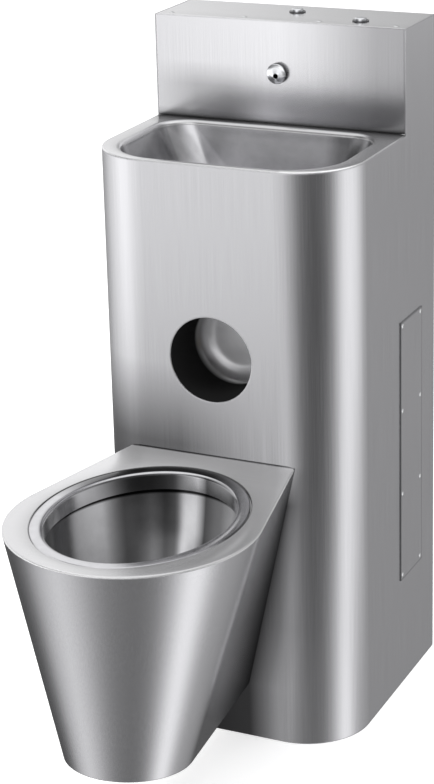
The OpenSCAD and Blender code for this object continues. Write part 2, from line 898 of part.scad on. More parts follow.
module side_hatch() {
    color(steel)
    difference() {
        hatch_hole(0, hatch_t, body_w / 2);
        at_hatch_screws() translate([0, 0, -3 * sheet]) cylinder(h = 4 * sheet, r = screw_r);
    }
}

module hatch_screws() { color(bright) at_hatch_screws() screw(hatch_screw_l); }

// Backing frame inside the column that takes the hatch screws
module hatch_frame() {
    x = body_w / 2 - sheet - frame_t;
    color(steel)
    difference() {
        hatch_hole(frame_lap, frame_t, x);
        hatch_hole(-hatch_land, 3 * frame_t, x - frame_t);
        at_hatch_screws() translate([0, 0, -5 * sheet]) cylinder(h = 6 * sheet, r = screw_r);
    }
}

module spout_head() {
    color(bright)
    difference() {
        union() {
            translate([0, -box_d, spout_h])
                rotate([90, 0, 0])
                    rotate_extrude()
                        polygon([
                            [0, 0], [spout_r, 0], [spout_r, spout_reach - spout_rim],
                            [spout_r - spout_step, spout_reach - spout_crown],
                            [spout_nose_r, spout_reach], [0, spout_reach]]);
            along_y(0, -box_d, spout_h, spout_shank_l, spout_shank_r);
        }
        along_y(0, -box_d - spout_reach - cut, spout_h - jet_drop, jet_l, jet_r);
        along_y(0, -box_d - spout_nose_r, spout_h, 2 * spout_shank_l, spout_nose_r);
    }
}

module spout_washer() {
    color("dimgray")
    difference() {
        along_y(0, -box_d + sheet, spout_h, spout_washer_t, spout_nut_r);
        along_y(0, -box_d, spout_h, 4 * spout_washer_t, spout_shank_r + loose_fit);
    }
}

module spout_nut() {
    color("goldenrod")
    translate([0, -box_d + sheet + spout_washer_t, spout_h])
        rotate([-90, 0, 0])
            hex_nut(spout_nut_r, spout_shank_r + thread_fit, spout_nut_h);
}

module spout_feed() {
    y0 = -box_d + spout_shank_l;
    color("goldenrod")
    difference() {
        union() {
            along_y(0, y0, spout_h, -tap_button_y - valve_r - y0 + feed_seat, feed_r);
            along_y(0, y0 - feed_cup, spout_h, 2 * feed_cup, spout_shank_r + feed_cup_wall);
        }
        along_y(0, y0 - feed_cup - cut, spout_h, feed_cup + cut, spout_shank_r + thread_fit);
        along_y(0, y0 - feed_cup - cut, spout_h, 2 * spout_shank_l, feed_r - pipe_wall);
        translate([0, -tap_button_y, spout_h - 2 * feed_r])
            cylinder(h = 4 * feed_r, r = valve_r + spindle_fit);
    }
}

// Threaded sleeve that guides a push-button through the cover
module button_sleeve(x, y) {
    color(bright)
    translate([x, -y, 0])
        difference() {
            union() {
                translate([0, 0, sleeve_low]) cylinder(h = body_h - sleeve_low, r = sleeve_r);
                translate([0, 0, body_h]) cylinder(h = sleeve_rim, r = sleeve_r + sleeve_lip);
            }
            translate([0, 0, sleeve_low + sleeve_floor])
                cylinder(h = body_h, r = sleeve_bore_r);
            translate([0, 0, sleeve_low - cut]) cylinder(h = sleeve_l / 4, r = stem_bore_r);
        }
}

module button_cap(x, y) {
    top = body_h + button_rise;
    color("white")
    translate([x, -y, 0])
        union() {
            rotate_extrude()
                polygon([
                    [0, top - cap_skirt - button_travel], [button_r, top - cap_skirt - button_travel],
                    [button_r, top - 0.19 * button_r], [0.94 * button_r, top - 0.08 * button_r],
                    [0.79 * button_r, top - 0.02 * button_r], [0, top]]);
            translate([0, 0, sleeve_low + cut])
                cylinder(h = top - cap_skirt - button_travel - sleeve_low, r = stem_r);
        }
}

module button_spring(x, y) {
    low = sleeve_low + sleeve_floor;
    high = body_h + button_rise - cap_skirt - button_travel;
    turns = 5;
    steps = 12;
    coil_r = 5.9;
    wire_r = 0.7;
    rise = high - low - 2 * wire_r;
    color("silver")
    translate([x, -y, low + wire_r])
        skin([
            for (i = [0:turns * steps])
                let (a = 360 * i / steps, s = i / (turns * steps))
                [for (k = [0:5])
                    let (b = -60 * k)
                    [(coil_r + wire_r * cos(b)) * cos(a), (coil_r + wire_r * cos(b)) * sin(a),
                        rise * s + wire_r * sin(b)]]]);
}

module button_locknut(x, y) {
    color("goldenrod")
    translate([x, -y, body_h - sheet - locknut_h])
        hex_nut(locknut_r, sleeve_r + thread_fit, locknut_h);
}

module tap_sleeve() { button_sleeve(0, tap_button_y); }
module tap_cap() { button_cap(0, tap_button_y); }
module tap_spring() { button_spring(0, tap_button_y); }
module tap_locknut() { button_locknut(0, tap_button_y); }
module flush_sleeve() { button_sleeve(flush_button_x, flush_button_y); }
module flush_cap() { button_cap(flush_button_x, flush_button_y); }
module flush_spring() { button_spring(flush_button_x, flush_button_y); }
module flush_locknut() { button_locknut(flush_button_x, flush_button_y); }

// Self-closing tap cartridge under the tap button
module tap_valve() {
    color("goldenrod")
    difference() {
        union() {
            translate([0, -tap_button_y, tap_valve_low + tap_tail_h])
                cylinder(h = tap_valve_l - tap_tail_h, r = valve_r);
            translate([0, -tap_button_y, tap_valve_low]) cylinder(h = tap_tail_h, r = tap_tail_r);
        }
        translate([0, -tap_button_y, sleeve_low - 2 * tap_tail_h])
            cylinder(h = 3 * tap_tail_h, r = valve_bore_r);
        along_y(0, -tap_button_y - valve_r - cut, spout_h, jet_l, feed_r - pipe_wall);
        translate([0, -tap_button_y, tap_valve_low - cut])
            cylinder(h = 2 * tap_tail_h, r = tap_tail_bore_r);
    }
}

module air_chamber() {
    color("darkslategray")
    difference() {
        union() {
            translate([flush_button_x, -flush_button_y, air_low])
                cylinder(h = air_l, r = valve_r);
            translate([flush_button_x, -flush_button_y, air_low - air_nipple_h])
                cylinder(h = air_nipple_h, r = air_nipple_r);
        }
        translate([flush_button_x, -flush_button_y, air_low + air_wall])
            cylinder(h = air_l, r = valve_r - air_wall);
        translate([flush_button_x, -flush_button_y, air_low - air_nipple_h - cut])
            cylinder(h = 2 * air_nipple_h, r = air_bore_r);
    }
}

// Soft line between two vertical ends: a smooth S whose rings stand square to it. It leaves each end
// along lead, a share of its height
function soft_point(a, b, lead, t) =
    let (rise = [0, 0, lead * (b.z - a.z)], c = a + rise, d = b - rise, q = 1 - t)
    a * q * q * q + c * 3 * q * q * t + d * 3 * q * t * t + b * t * t * t;
function soft_way(a, b, lead, t) =
    let (rise = [0, 0, lead * (b.z - a.z)], c = a + rise, d = b - rise, q = 1 - t)
    (c - a) * 3 * q * q + (d - c) * 6 * q * t + (b - d) * 3 * t * t;
module soft_line(a, b, lead, r) {
    skin([
        for (i = [0:soft_steps])
            let (
                t = i / soft_steps,
                p = soft_point(a, b, lead, t),
                w = soft_way(a, b, lead, t) / norm(soft_way(a, b, lead, t)),
                e = cross([0, 1, 0], w) / norm(cross([0, 1, 0], w)),
                f = cross(w, e))

            [for (k = [0:soft_sides - 1])
                let (turn = 360 * k / soft_sides)
                p + e * r * cos(turn) + f * r * sin(turn)]]);
}

module air_tube() {
    color("darkslategray")
    soft_line(
        [valve_x, -valve_y, flush_valve_top + flush_cover_h],
        [flush_button_x, -flush_button_y, air_low - air_nipple_h],
        air_lead, air_r);
}

module flush_valve() {
    color("goldenrod")
    difference() {
        union() {
            translate([valve_x, -valve_y, flush_valve_low + flush_socket_h])
                cylinder(h = flush_valve_top - flush_valve_low - flush_socket_h, r = flush_valve_r);
            translate([valve_x, -valve_y, flush_valve_low])
                cylinder(h = flush_socket_h, r = flush_r + flush_socket_wall);
            along_y(valve_x, -valve_y, inlet_h, valve_y - flush_stop_y, stop_r);
        }
        translate([valve_x, -valve_y, flush_valve_low - cut])
            cylinder(h = flush_chamber_floor + cut, r = flush_r - pipe_wall);
        translate([valve_x, -valve_y, flush_valve_low + flush_chamber_floor])
            cylinder(h = flush_valve_top, r = flush_valve_r - flush_valve_wall);
        along_y(valve_x, -valve_y, inlet_h, valve_y, stop_r * inlet_bore);
    }
}

module flush_valve_cover() {
    color("darkslategray")
    translate([valve_x, -valve_y, flush_valve_top])
        difference() {
            union() {
                cylinder(h = flush_cover_h - flush_dome_h, r = flush_valve_r + flush_cover_lap);
                translate([0, 0, flush_cover_h - flush_dome_h])
                    cylinder(h = flush_dome_h, r1 = flush_dome_r, r2 = 2 * air_r);
            }
            translate([0, 0, -cut])
                cylinder(h = flush_dome_h + cut, r = flush_valve_r - flush_valve_wall);
        }
}

flush_route = [
    [valve_x, -valve_y, flush_valve_low],
    [valve_x, -valve_y, flush_h],
    [0, -valve_y, flush_h],
    [0, rim_cy + rim_l / 2 - flush_end, flush_h]];

module flush_pipe() { color(steel) bent_tube(flush_route, flush_r, pipe_wall, flush_turn_r); }

module flush_seal() {
    color("dimgray")
    difference() {
        along_y(0, rim_cy + rim_l / 2 - flush_seal_lap, flush_h, flush_seal_l, flush_r + flush_seal_wall);
        along_y(0, rim_cy + rim_l / 2 - flush_seal_lap - cut, flush_h, 2 * flush_seal_l,
            flush_r + loose_fit);
    }
}

// Quarter-turn stop valve that screws onto the wall's supply; the lever's spindle is its own piece
module flush_stop_valve() {
    color("goldenrod")
    difference() {
        union() {
            along_y(valve_x, -stop_wall_l, inlet_h, stop_wall_l, stop_r - rail_t);
            along_y(valve_x, -flush_stop_y, inlet_h, flush_stop_y - stop_wall_l, stop_r + rail_t);
            along_x(valve_x, -flush_spindle_y, inlet_h, stop_r + spindle_boss, spindle_boss_r);
        }
        along_y(valve_x, -flush_stop_y - cut, inlet_h, flush_stop_y + 2 * cut, stop_r * inlet_bore - cut);
        along_x(valve_x, -flush_spindle_y, inlet_h, 2 * stop_r, spindle_r + spindle_fit);
    }
}

module lever_blade(l, w) {
    difference() {
        union() {
            cylinder(h = lever_t, r = w / 2 + lever_hub);
            translate([0, -w / 2, 0]) cube([l - w / 2, w, lever_t]);
            translate([l - w / 2, 0, 0]) cylinder(h = lever_t, r = w / 2);
        }
        translate([l - w / 2, 0, -cut]) cylinder(h = lever_t + 2 * cut, r = lever_hole_r);
    }
}

module flush_stop_lever() {
    x = valve_x + stop_r + spindle_boss + spindle_gap;
    color("firebrick")
    union() {
        translate([x, -flush_spindle_y, inlet_h])
            rotate([0, 90, 0])
                rotate([0, 0, -90])
                    lever_blade(lever_l, lever_w);
        along_x(x - spindle_boss, -flush_spindle_y, inlet_h, spindle_boss, spindle_r);
    }
}

module tap_stop_valve() {
    color("goldenrod")
    difference() {
        union() {
            along_y(tap_inlet_x, -stop_wall_l, inlet_h, stop_wall_l, tap_stop_r - rail_t);
            along_y(tap_inlet_x, -tap_stop_y, inlet_h, tap_stop_l, tap_stop_r);
            translate([tap_inlet_x, -tap_riser_y, inlet_h]) cylinder(h = tap_riser_h, r = tap_riser_r);
            along_y(tap_inlet_x, -tap_spindle_y, inlet_h, tap_boss_l, tap_boss_r);
        }
        along_y(tap_inlet_x, -tap_riser_y, inlet_h, tap_riser_y + cut, (tap_stop_r - rail_t) * inlet_bore);
        translate([tap_inlet_x, -tap_riser_y, inlet_h])
            cylinder(h = tap_riser_h + cut, r = tap_riser_bore_r);
        along_y(tap_inlet_x, -tap_spindle_y - cut, inlet_h, tap_boss_l + 2 * cut, spindle_r + spindle_fit);
    }
}

module tap_stop_lever() {
    y = -tap_spindle_y - spindle_gap - lever_t;
    color("steelblue")
    union() {
        translate([tap_inlet_x, y + lever_t, inlet_h])
            rotate([90, 0, 0])
                rotate([0, 0, 90])
                    lever_blade(tap_lever_share * lever_l, tap_lever_share * lever_w);
        along_y(tap_inlet_x, y + lever_t, inlet_h, spindle_boss, spindle_r);
    }
}

module tap_hose() {
    color("silver")
    soft_line(
        [tap_inlet_x, -tap_riser_y, inlet_h + tap_riser_h],
        [0, -tap_button_y, tap_valve_low],
        hose_lead, hose_r);
}

body_shell();
floor_bar();
upper_wall_rail();
lower_wall_rail();
splashback();
top_cover();
cover_screws();
basin_deck();
basin_bowl();
basin_strainer();
waste_washer();
waste_tail();
waste_nut();
bottle_trap();
trap_cup();
drain_pipe();
roll_cup();
pan_shell();
pan_deck();
rim_ring();
pan_bowl();
pan_trap();
soil_outlet();
soil_seal();
pan_gussets();
side_hatch();
hatch_screws();
hatch_frame();
spout_head();
spout_washer();
spout_nut();
spout_feed();
tap_sleeve();
tap_cap();
tap_spring();
tap_locknut();
tap_valve();
flush_sleeve();
flush_cap();
flush_spring();
flush_locknut();
air_chamber();
air_tube();
flush_valve();
flush_valve_cover();
flush_pipe();
flush_seal();
flush_stop_valve();
flush_stop_lever();
tap_stop_valve();
tap_stop_lever();
tap_hose();
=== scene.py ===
"""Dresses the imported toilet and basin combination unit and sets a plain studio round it."""
import json
import math

import bpy
from bpy.props import FloatProperty, IntProperty, PointerProperty
from mathutils import Matrix, Vector


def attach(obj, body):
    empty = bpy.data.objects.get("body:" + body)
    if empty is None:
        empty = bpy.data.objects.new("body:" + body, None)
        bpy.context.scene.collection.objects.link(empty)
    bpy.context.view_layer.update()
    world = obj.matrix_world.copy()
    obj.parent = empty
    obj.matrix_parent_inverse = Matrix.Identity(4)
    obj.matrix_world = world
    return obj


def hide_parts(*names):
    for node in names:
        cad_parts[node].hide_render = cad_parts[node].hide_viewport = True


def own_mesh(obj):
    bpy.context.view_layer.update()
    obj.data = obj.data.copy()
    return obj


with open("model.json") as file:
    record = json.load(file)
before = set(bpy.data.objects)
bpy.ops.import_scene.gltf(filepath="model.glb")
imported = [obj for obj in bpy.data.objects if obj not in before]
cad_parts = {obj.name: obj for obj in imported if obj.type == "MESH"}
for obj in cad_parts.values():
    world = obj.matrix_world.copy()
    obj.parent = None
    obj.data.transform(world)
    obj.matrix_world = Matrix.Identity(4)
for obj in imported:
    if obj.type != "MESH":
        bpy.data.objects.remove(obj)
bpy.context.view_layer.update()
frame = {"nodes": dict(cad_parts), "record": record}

bl_info = {
    "name": "Combination Unit",
    "version": (1, 0, 0),
    "blender": (4, 5, 0),
    "location": "View3D > Sidebar > Unit",
    "description": "Dresses a stainless toilet and basin combination unit",
    "category": "Object",
}

BODY = "unit"
# Angle from which an edge stays sharp
CREASE = 35
PAN_CREASE = 30
# Radius of a corner that looks square
SQUARE_R = 0.0002


# Shapes

def arc(cx, cy, r, start, end, steps):
    """Points of a circular arc in plan, both ends included."""
    return [(cx + r * math.cos(math.radians(start + (end - start) * i / steps)),
             cy + r * math.sin(math.radians(start + (end - start) * i / steps)))
            for i in range(steps + 1)]


def rounded_box(width, y0, y1, front_r, back_r, steps):
    """Counter-clockwise outline with one radius at the front and one at the back."""
    half = width / 2
    return (arc(half - back_r, y1 - back_r, back_r, 0, 90, steps)
            + arc(-half + back_r, y1 - back_r, back_r, 90, 180, steps)
            + arc(-half + front_r, y0 + front_r, front_r, 180, 270, steps)
            + arc(half - front_r, y0 + front_r, front_r, 270, 360, steps))


def oval(width, length, cy, steps):
    """Counter-clockwise ellipse in plan."""
    return [(width / 2 * math.cos(2 * math.pi * i / steps), cy + length / 2 * math.sin(2 * math.pi * i / steps))
            for i in range(steps)]


def pan_plan(back_w, r, reach, y_wall, steps):
    """Front circle with its two tangents back to the column, from left to right."""
    cy = y_wall - (reach - r)
    dx, dy = back_w / 2, reach - r
    turn = math.degrees(math.acos(r / math.hypot(dx, dy)) - math.atan2(dy, dx))
    side = 10
    curve = arc(0, cy, r, -180 + turn, -turn, steps)
    first, last = curve[0], curve[-1]
    left = [(-dx + (first[0] + dx) * i / side, y_wall + (first[1] - y_wall) * i / side) for i in range(side)]
    right = [(last[0] + (dx - last[0]) * i / side, last[1] + (y_wall - last[1]) * i / side)
             for i in range(1, side + 1)]
    return left + curve + right


def quarter(steps):
    """Angles over a quarter turn, both ends included."""
    return [math.radians(90 * i / steps) for i in range(steps + 1)]


def lift(plan, z):
    """Plan points at one height."""
    return [(x, y, z) for x, y in plan]


def mix(a, b, t):
    """Point-by-point blend of two plans."""
    return [tuple(p * (1 - t) + q * t for p, q in zip(u, v)) for u, v in zip(a, b)]


def smooth_table(rows, parts):
    """Catmull-Rom refinement of a short table."""
    out = []
    for i in range(len(rows) - 1):
        p0, p1, p2, p3 = rows[max(i - 1, 0)], rows[i], rows[i + 1], rows[min(i + 2, len(rows) - 1)]
        for k in range(parts):
            t = k / parts
            out.append(tuple(
                0.5 * (2 * b + (c - a) * t + (2 * a - 5 * b + 4 * c - d) * t * t + (3 * b - a - 3 * c + d) * t ** 3)
                for a, b, c, d in zip(p0, p1, p2, p3)))
    return out + [tuple(rows[-1])]


def settled(name, mesh, slot, crease=CREASE):
    """Object for a mesh, riding on the unit, with soft normals up to the crease angle."""
    mesh.shade_smooth()
    mesh.set_sharp_from_angle(angle=math.radians(crease))
    piece = bpy.data.objects.new(name, mesh)
    bpy.context.scene.collection.objects.link(piece)
    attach(piece, BODY)
    return piece


def make_piece(name, verts, faces, material, slot, crease=CREASE):
    """Piece with the given vertices and faces."""
    mesh = bpy.data.meshes.new(name)
    mesh.from_pydata(verts, [], faces)
    mesh.validate()
    mesh.materials.append(MATERIALS[material])
    return settled(name, mesh, slot, crease)


def loft(rings, closed=True, loop=True):
    """Faces over rings of equal length; loop joins the last ring to the first, closed joins each ring's ends."""
    count = len(rings[0])
    verts = [p for ring in rings for p in ring]
    faces = []
    pairs = len(rings) if loop else len(rings) - 1
    for j in range(pairs):
        k = (j + 1) % len(rings)
        for i in range(count if closed else count - 1):
            n = (i + 1) % count
            faces.append((j * count + i, j * count + n, k * count + n, k * count + i))
    return verts, faces


def sweeping_nodes(name, inputs):
    """Geometry node group that sweeps a circle along a curve; gives the socket that takes the curve."""
    tree = bpy.data.node_groups.new(name, "GeometryNodeTree")
    face = tree.interface
    face.new_socket("Path", in_out="INPUT", socket_type="NodeSocketGeometry")
    identifiers = {}
    for title, kind, value in (*inputs, ("Radius", "Float", 0.014), ("Sides", "Int", 48),
                               ("Material", "Material", None)):
        socket = face.new_socket(title, in_out="INPUT", socket_type="NodeSocket" + kind)
        if value is not None:
            socket.default_value = value
        identifiers[title] = socket.identifier
    face.new_socket("Tube", in_out="OUTPUT", socket_type="NodeSocketGeometry")
    nodes, links = tree.nodes, tree.links
    start, end = nodes.new("NodeGroupInput"), nodes.new("NodeGroupOutput")
    circle = nodes.new("GeometryNodeCurvePrimitiveCircle")
    sweep = nodes.new("GeometryNodeCurveToMesh")
    sweep.inputs["Fill Caps"].default_value = True
    real = nodes.new("GeometryNodeRealizeInstances")
    painted = nodes.new("GeometryNodeSetMaterial")
    links.new(start.outputs["Sides"], circle.inputs["Resolution"])
    links.new(start.outputs["Radius"], circle.inputs["Radius"])
    links.new(circle.outputs["Curve"], sweep.inputs["Profile Curve"])
    links.new(sweep.outputs["Mesh"], real.inputs["Geometry"])
    links.new(real.outputs["Geometry"], painted.inputs["Geometry"])
    links.new(start.outputs["Material"], painted.inputs["Material"])
    links.new(painted.outputs["Geometry"], end.inputs["Tube"])
    return tree, identifiers, start, sweep.inputs["Curve"]


def tube_nodes():
    """Geometry nodes that round a path's corners and sweep a tube along it."""
    tree, identifiers, start, curve = sweeping_nodes(
        "swept_tube", (("Bend Radius", "Float", 0.032), ("Bend Steps", "Int", 12)))
    fillet = tree.nodes.new("GeometryNodeFilletCurve")
    fillet.mode = "POLY"
    tree.links.new(start.outputs["Path"], fillet.inputs["Curve"])
    tree.links.new(start.outputs["Bend Radius"], fillet.inputs["Radius"])
    tree.links.new(start.outputs["Bend Steps"], fillet.inputs["Count"])
    tree.links.new(fillet.outputs["Curve"], curve)
    return tree, identifiers


def spring_nodes():
    """Geometry nodes that wind a wire upwards from a foot."""
    tree, identifiers, start, curve = sweeping_nodes(
        "coil_spring", (("Turns", "Float", 5.0), ("Coil Radius", "Float", 0.006), ("Height", "Float", 0.03),
                        ("Foot", "Vector", (0.0, 0.0, 0.0))))
    spiral = tree.nodes.new("GeometryNodeCurveSpiral")
    spiral.inputs["Resolution"].default_value = 32
    place = tree.nodes.new("GeometryNodeTransform")
    tree.links.new(start.outputs["Turns"], spiral.inputs["Rotations"])
    for end in ("Start Radius", "End Radius"):
        tree.links.new(start.outputs["Coil Radius"], spiral.inputs[end])
    tree.links.new(start.outputs["Height"], spiral.inputs["Height"])
    tree.links.new(spiral.outputs["Curve"], place.inputs["Geometry"])
    tree.links.new(start.outputs["Foot"], place.inputs["Translation"])
    tree.links.new(place.outputs["Geometry"], curve)
    return tree, identifiers


def swept_piece(name, nodes, path, material, slot, **sizes):
    """Piece that the geometry nodes make from a path, kept as a plain mesh."""
    tree, identifiers = nodes
    holder = bpy.data.objects.new(name + "_path", path)
    bpy.context.scene.collection.objects.link(holder)
    modifier = holder.modifiers.new(tree.name, "NODES")
    modifier.node_group = tree
    modifier[identifiers["Material"]] = MATERIALS[material]
    for title, value in sizes.items():
        modifier[identifiers[title.replace("_", " ").title()]] = value
    bpy.context.view_layer.update()
    mesh = bpy.data.meshes.new_from_object(holder.evaluated_get(bpy.context.evaluated_depsgraph_get()))
    holder.modifiers.remove(modifier)
    bpy.data.objects.remove(holder)
    mesh.name = name
    return settled(name, mesh, slot)


def straight_path(name, route):
    """Curve through the given points."""
    path = bpy.data.curves.new(name, "CURVE")
    path.dimensions = "3D"
    spline = path.splines.new("POLY")
    spline.points.add(len(route) - 1)
    for point, place in zip(spline.points, route):
        point.co = (*place, 1)
    return path


# Materials

MATERIALS = {}
# Where the noise textures' output mostly lies
NOISE_RANGE = (0.3, 0.7)


def new_material(name):
    """Material, kept under its name, with its nodes, links and shader."""
    material = bpy.data.materials.new(name)
    material.use_nodes = True
    MATERIALS[name] = material
    nodes = material.node_tree.nodes
    return material, nodes, material.node_tree.links, nodes["Principled BSDF"]


def feed(links, socket, value):
    """Link a socket to another, or give it a plain value."""
    if isinstance(value, bpy.types.NodeSocket):
        links.new(value, socket)
    elif value is not None:
        socket.default_value = value


def scaled_noise(nodes, links, coords, scale, detail, vector_scale):
    """Noise on the object's own axes, drawn out along one by its scale."""
    mapping = nodes.new("ShaderNodeMapping")
    mapping.inputs["Scale"].default_value = vector_scale
    links.new(coords.outputs["Object"], mapping.inputs["Vector"])
    noise = nodes.new("ShaderNodeTexNoise")
    noise.inputs["Scale"].default_value = scale
    noise.inputs["Detail"].default_value = detail
    links.new(mapping.outputs["Vector"], noise.inputs["Vector"])
    return noise


def ranged(nodes, links, socket, low, high, source=NOISE_RANGE):
    """Value carried from the source range to low and high."""
    node = nodes.new("ShaderNodeMapRange")
    node.inputs["From Min"].default_value = source[0]
    node.inputs["From Max"].default_value = source[1]
    node.inputs["To Min"].default_value = low
    node.inputs["To Max"].default_value = high
    links.new(socket, node.inputs["Value"])
    return node.outputs["Result"]


def calculated(nodes, links, operation, first, second=None):
    """Output of a maths node whose inputs are sockets or numbers."""
    node = nodes.new("ShaderNodeMath")
    node.operation = operation
    feed(links, node.inputs[0], first)
    feed(links, node.inputs[1], second)
    return node.outputs[0]


def blended(nodes, links, first, second, factor=1.0, blend="MIX"):
    """Mix of two colours by a factor, each a socket or a value."""
    node = nodes.new("ShaderNodeMix")
    node.data_type = "RGBA"
    node.blend_type = blend
    feed(links, node.inputs["Factor"], factor)
    feed(links, node.inputs["A"], first)
    feed(links, node.inputs["B"], second)
    return node.outputs["Result"]


def measured(nodes, links, coords, measure):
    """Object coordinate along X, Y or Z. TURN is the angle in degrees round the pan's bowl, 0 at its back, OVAL the
    distance from the bowl's axis as a share of the ring's outline, BESIDE the distance from the pan's side across the
    column, drawn in towards the pan's deck, NOZZLE the distance from the jet's axis and CORNER a slant up the basin's
    left back corner."""
    def maths(operation, *values):
        """Maths node's output."""
        return calculated(nodes, links, operation, *values)

    def far(first, second):
        """Length of two legs."""
        return maths("SQRT", maths("ADD", maths("MULTIPLY", first, first), maths("MULTIPLY", second, second)))

    place = nodes.new("ShaderNodeSeparateXYZ")
    links.new(coords.outputs["Object"], place.inputs["Vector"])
    across, along, up = (place.outputs[axis] for axis in "XYZ")
    if measure in "XYZ":
        return place.outputs[measure]
    if measure == "CORNER":
        return maths("ADD", across, up)
    if measure == "BESIDE":
        half = ranged(nodes, links, up, *PAN_BACK_HALF, PAN_BACK_Z)
        spread = ranged(nodes, links, up, *MIRROR_SPREAD, MIRROR_Z)
        return maths("DIVIDE", maths("SUBTRACT", maths("ABSOLUTE", across), half), spread)
    if measure == "NOZZLE":
        return far(across, maths("SUBTRACT", up, SPOUT_Z))
    back = maths("SUBTRACT", along, RIM_CENTRE_Y)
    if measure == "TURN":
        return maths("DEGREES", maths("ARCTAN2", across, back))
    return far(maths("DIVIDE", across, RIM_HALF_W), maths("DIVIDE", back, RIM_HALF_L))


def ramped(nodes, links, place, stops, tint):
    """Colour that runs through the stops, where place is 0 at the first and 1 at the last."""
    first, last = stops[0][0], stops[-1][0]
    ramp = nodes.new("ShaderNodeValToRGB")
    elements = ramp.color_ramp.elements
    for at, value in stops[1:-1]:
        elements.new((at - first) / (last - first))
    for element, (at, value) in zip(elements, stops):
        element.color = tint(value)
    links.new(place, ramp.inputs["Fac"])
    return ramp.outputs["Color"]


def shaded(nodes, links, coords, colour, measure, stops, under=None, fade=0.001, axis="Z"):
    """Darken a colour by a share that runs through the given stops of a coordinate, only under a value of the axis if
    given, with the fade above it, or with a fade below nought only over it."""
    value = measured(nodes, links, coords, measure)
    place = ranged(nodes, links, value, 0.0, 1.0, (stops[0][0], stops[-1][0]))
    dark = ramped(nodes, links, place, stops, lambda share: (share, share, share, 1))
    factor = 1.0
    if under is not None:
        limit = measured(nodes, links, coords, axis)
        factor = ranged(nodes, links, limit, 1.0, 0.0, (under, under + fade))
    return blended(nodes, links, colour, dark, factor, "MULTIPLY")


def two_tone(nodes, links, noise, tone, dark, light):
    """Tone that varies with the noise between a dark and a light share."""
    ramp = nodes.new("ShaderNodeValToRGB")
    for element, at, share in zip(ramp.color_ramp.elements, NOISE_RANGE, (dark, light)):
        element.position = at
        element.color = tuple(min(1, c * share) for c in tone) + (1,)
    links.new(noise, ramp.inputs["Fac"])
    return ramp.outputs["Color"]


def roughened(nodes, links, shader, height, strength, depth, edge=0.0):
    """Give the shader a fine relief, with its edges rounded by the given radius."""
    relief = nodes.new("ShaderNodeBump")
    relief.inputs["Strength"].default_value = strength
    relief.inputs["Distance"].default_value = depth
    links.new(height, relief.inputs["Height"])
    if edge:
        bevel = nodes.new("ShaderNodeBevel")
        bevel.samples = 4
        bevel.inputs["Radius"].default_value = edge
        links.new(bevel.outputs["Normal"], relief.inputs["Normal"])
    links.new(relief.outputs["Normal"], shader.inputs["Normal"])


def brushed_steel(name, tone, rough, spread, grain, bump, aniso=0.0, edge=0.0, shades=(), polish=None):
    """Brushed stainless steel: long fine scratches along the grain, faint clouding and uneven polish. The given
    shades multiply painted shade, painted reflections and painted highlights into its tone, and polish, where given,
    sets its metal share by a measure as painted light and shade.
    """
    material, nodes, links, shader = new_material(name)
    coords = nodes.new("ShaderNodeTexCoord")
    shader.inputs["Metallic"].default_value = 1.0
    shader.inputs["Anisotropic"].default_value = aniso
    scratch = scaled_noise(nodes, links, coords, 1.0, 6.0, grain)
    height = scratch.outputs["Fac"]
    cloud = scaled_noise(nodes, links, coords, 5.0, 3.0, (1, 1, 1))
    scratched = ranged(nodes, links, height, -spread, spread)
    clouded = ranged(nodes, links, cloud.outputs["Fac"], rough - spread / 3, rough + spread / 3)
    links.new(calculated(nodes, links, "ADD", scratched, clouded), shader.inputs["Roughness"])
    colour = two_tone(nodes, links, height, tone, 0.94, 1.05)
    for shade in shades:
        colour = shaded(nodes, links, coords, colour, *shade)
    links.new(colour, shader.inputs["Base Color"])
    if polish:
        white = nodes.new("ShaderNodeRGB")
        white.outputs["Color"].default_value = (1, 1, 1, 1)
        shader.inputs["Specular IOR Level"].default_value = 0.0
        links.new(shaded(nodes, links, coords, white.outputs["Color"], *polish), shader.inputs["Metallic"])
    roughened(nodes, links, shader, height, bump, 0.0004, edge)


def sheet_steel(name, tone, grain, **rest):
    """Steel sheet with the finish that the unit's flat faces share."""
    brushed_steel(name, tone, 0.24, 0.02, grain, 0.03, **rest)


def cast_or_moulded(name, tone, rough, metallic=0.0, grain=400.0, bump=0.05, vary=0.08, coat=0.0):
    """Machined metal, rubber, paint or plastic with a fine uneven surface."""
    material, nodes, links, shader = new_material(name)
    coords = nodes.new("ShaderNodeTexCoord")
    shader.inputs["Metallic"].default_value = metallic
    shader.inputs["Coat Weight"].default_value = coat
    fine = scaled_noise(nodes, links, coords, grain, 4.0, (1, 1, 1))
    wide = scaled_noise(nodes, links, coords, 14.0, 3.0, (1, 1, 1))
    links.new(ranged(nodes, links, wide.outputs["Fac"], rough * (1 - vary * 2), rough * (1 + vary * 2)),
              shader.inputs["Roughness"])
    links.new(two_tone(nodes, links, wide.outputs["Fac"], tone, 1 - vary, 1 + vary), shader.inputs["Base Color"])
    roughened(nodes, links, shader, fine.outputs["Fac"], bump, 0.0003)


# Middle and half sizes of the rim ring
RIM_CENTRE_Y = -0.594
RIM_HALF_W = 0.139
RIM_HALF_L = 0.170
# Height of the outlet's jet
SPOUT_Z = 0.922
# Half of the pan's width at the column between two heights, and how wide the painted dark reflection bands beside it
# are
PAN_BACK_Z = (0.084, 0.427)
PAN_BACK_HALF = (0.048, 0.125)
MIRROR_Z = (0.18, 0.40)
MIRROR_SPREAD = (1.0, 0.3)

# Painted shade, painted reflections and painted highlights: shares of a steel's tone over the stops of a measure, in
# metres, in degrees or in shares of the ring's outline

# Column's front below the pan's deck, from left to right, darkened as a painted reflection of the pan, and beside the
# pan, with painted dark reflections of the pan's sides
FRONT_SHADE = [(-0.1955, 1.0), (-0.187, 0.3), (-0.05, 0.32), (0.02, 0.72), (0.08, 1.0), (0.2, 1.0)]
BESIDE_SHADE = [(-0.2, 0.1), (0.0, 0.1), (0.028, 0.42), (0.042, 0.65), (0.062, 0.87), (0.09, 1.0), (0.3, 1.0)]
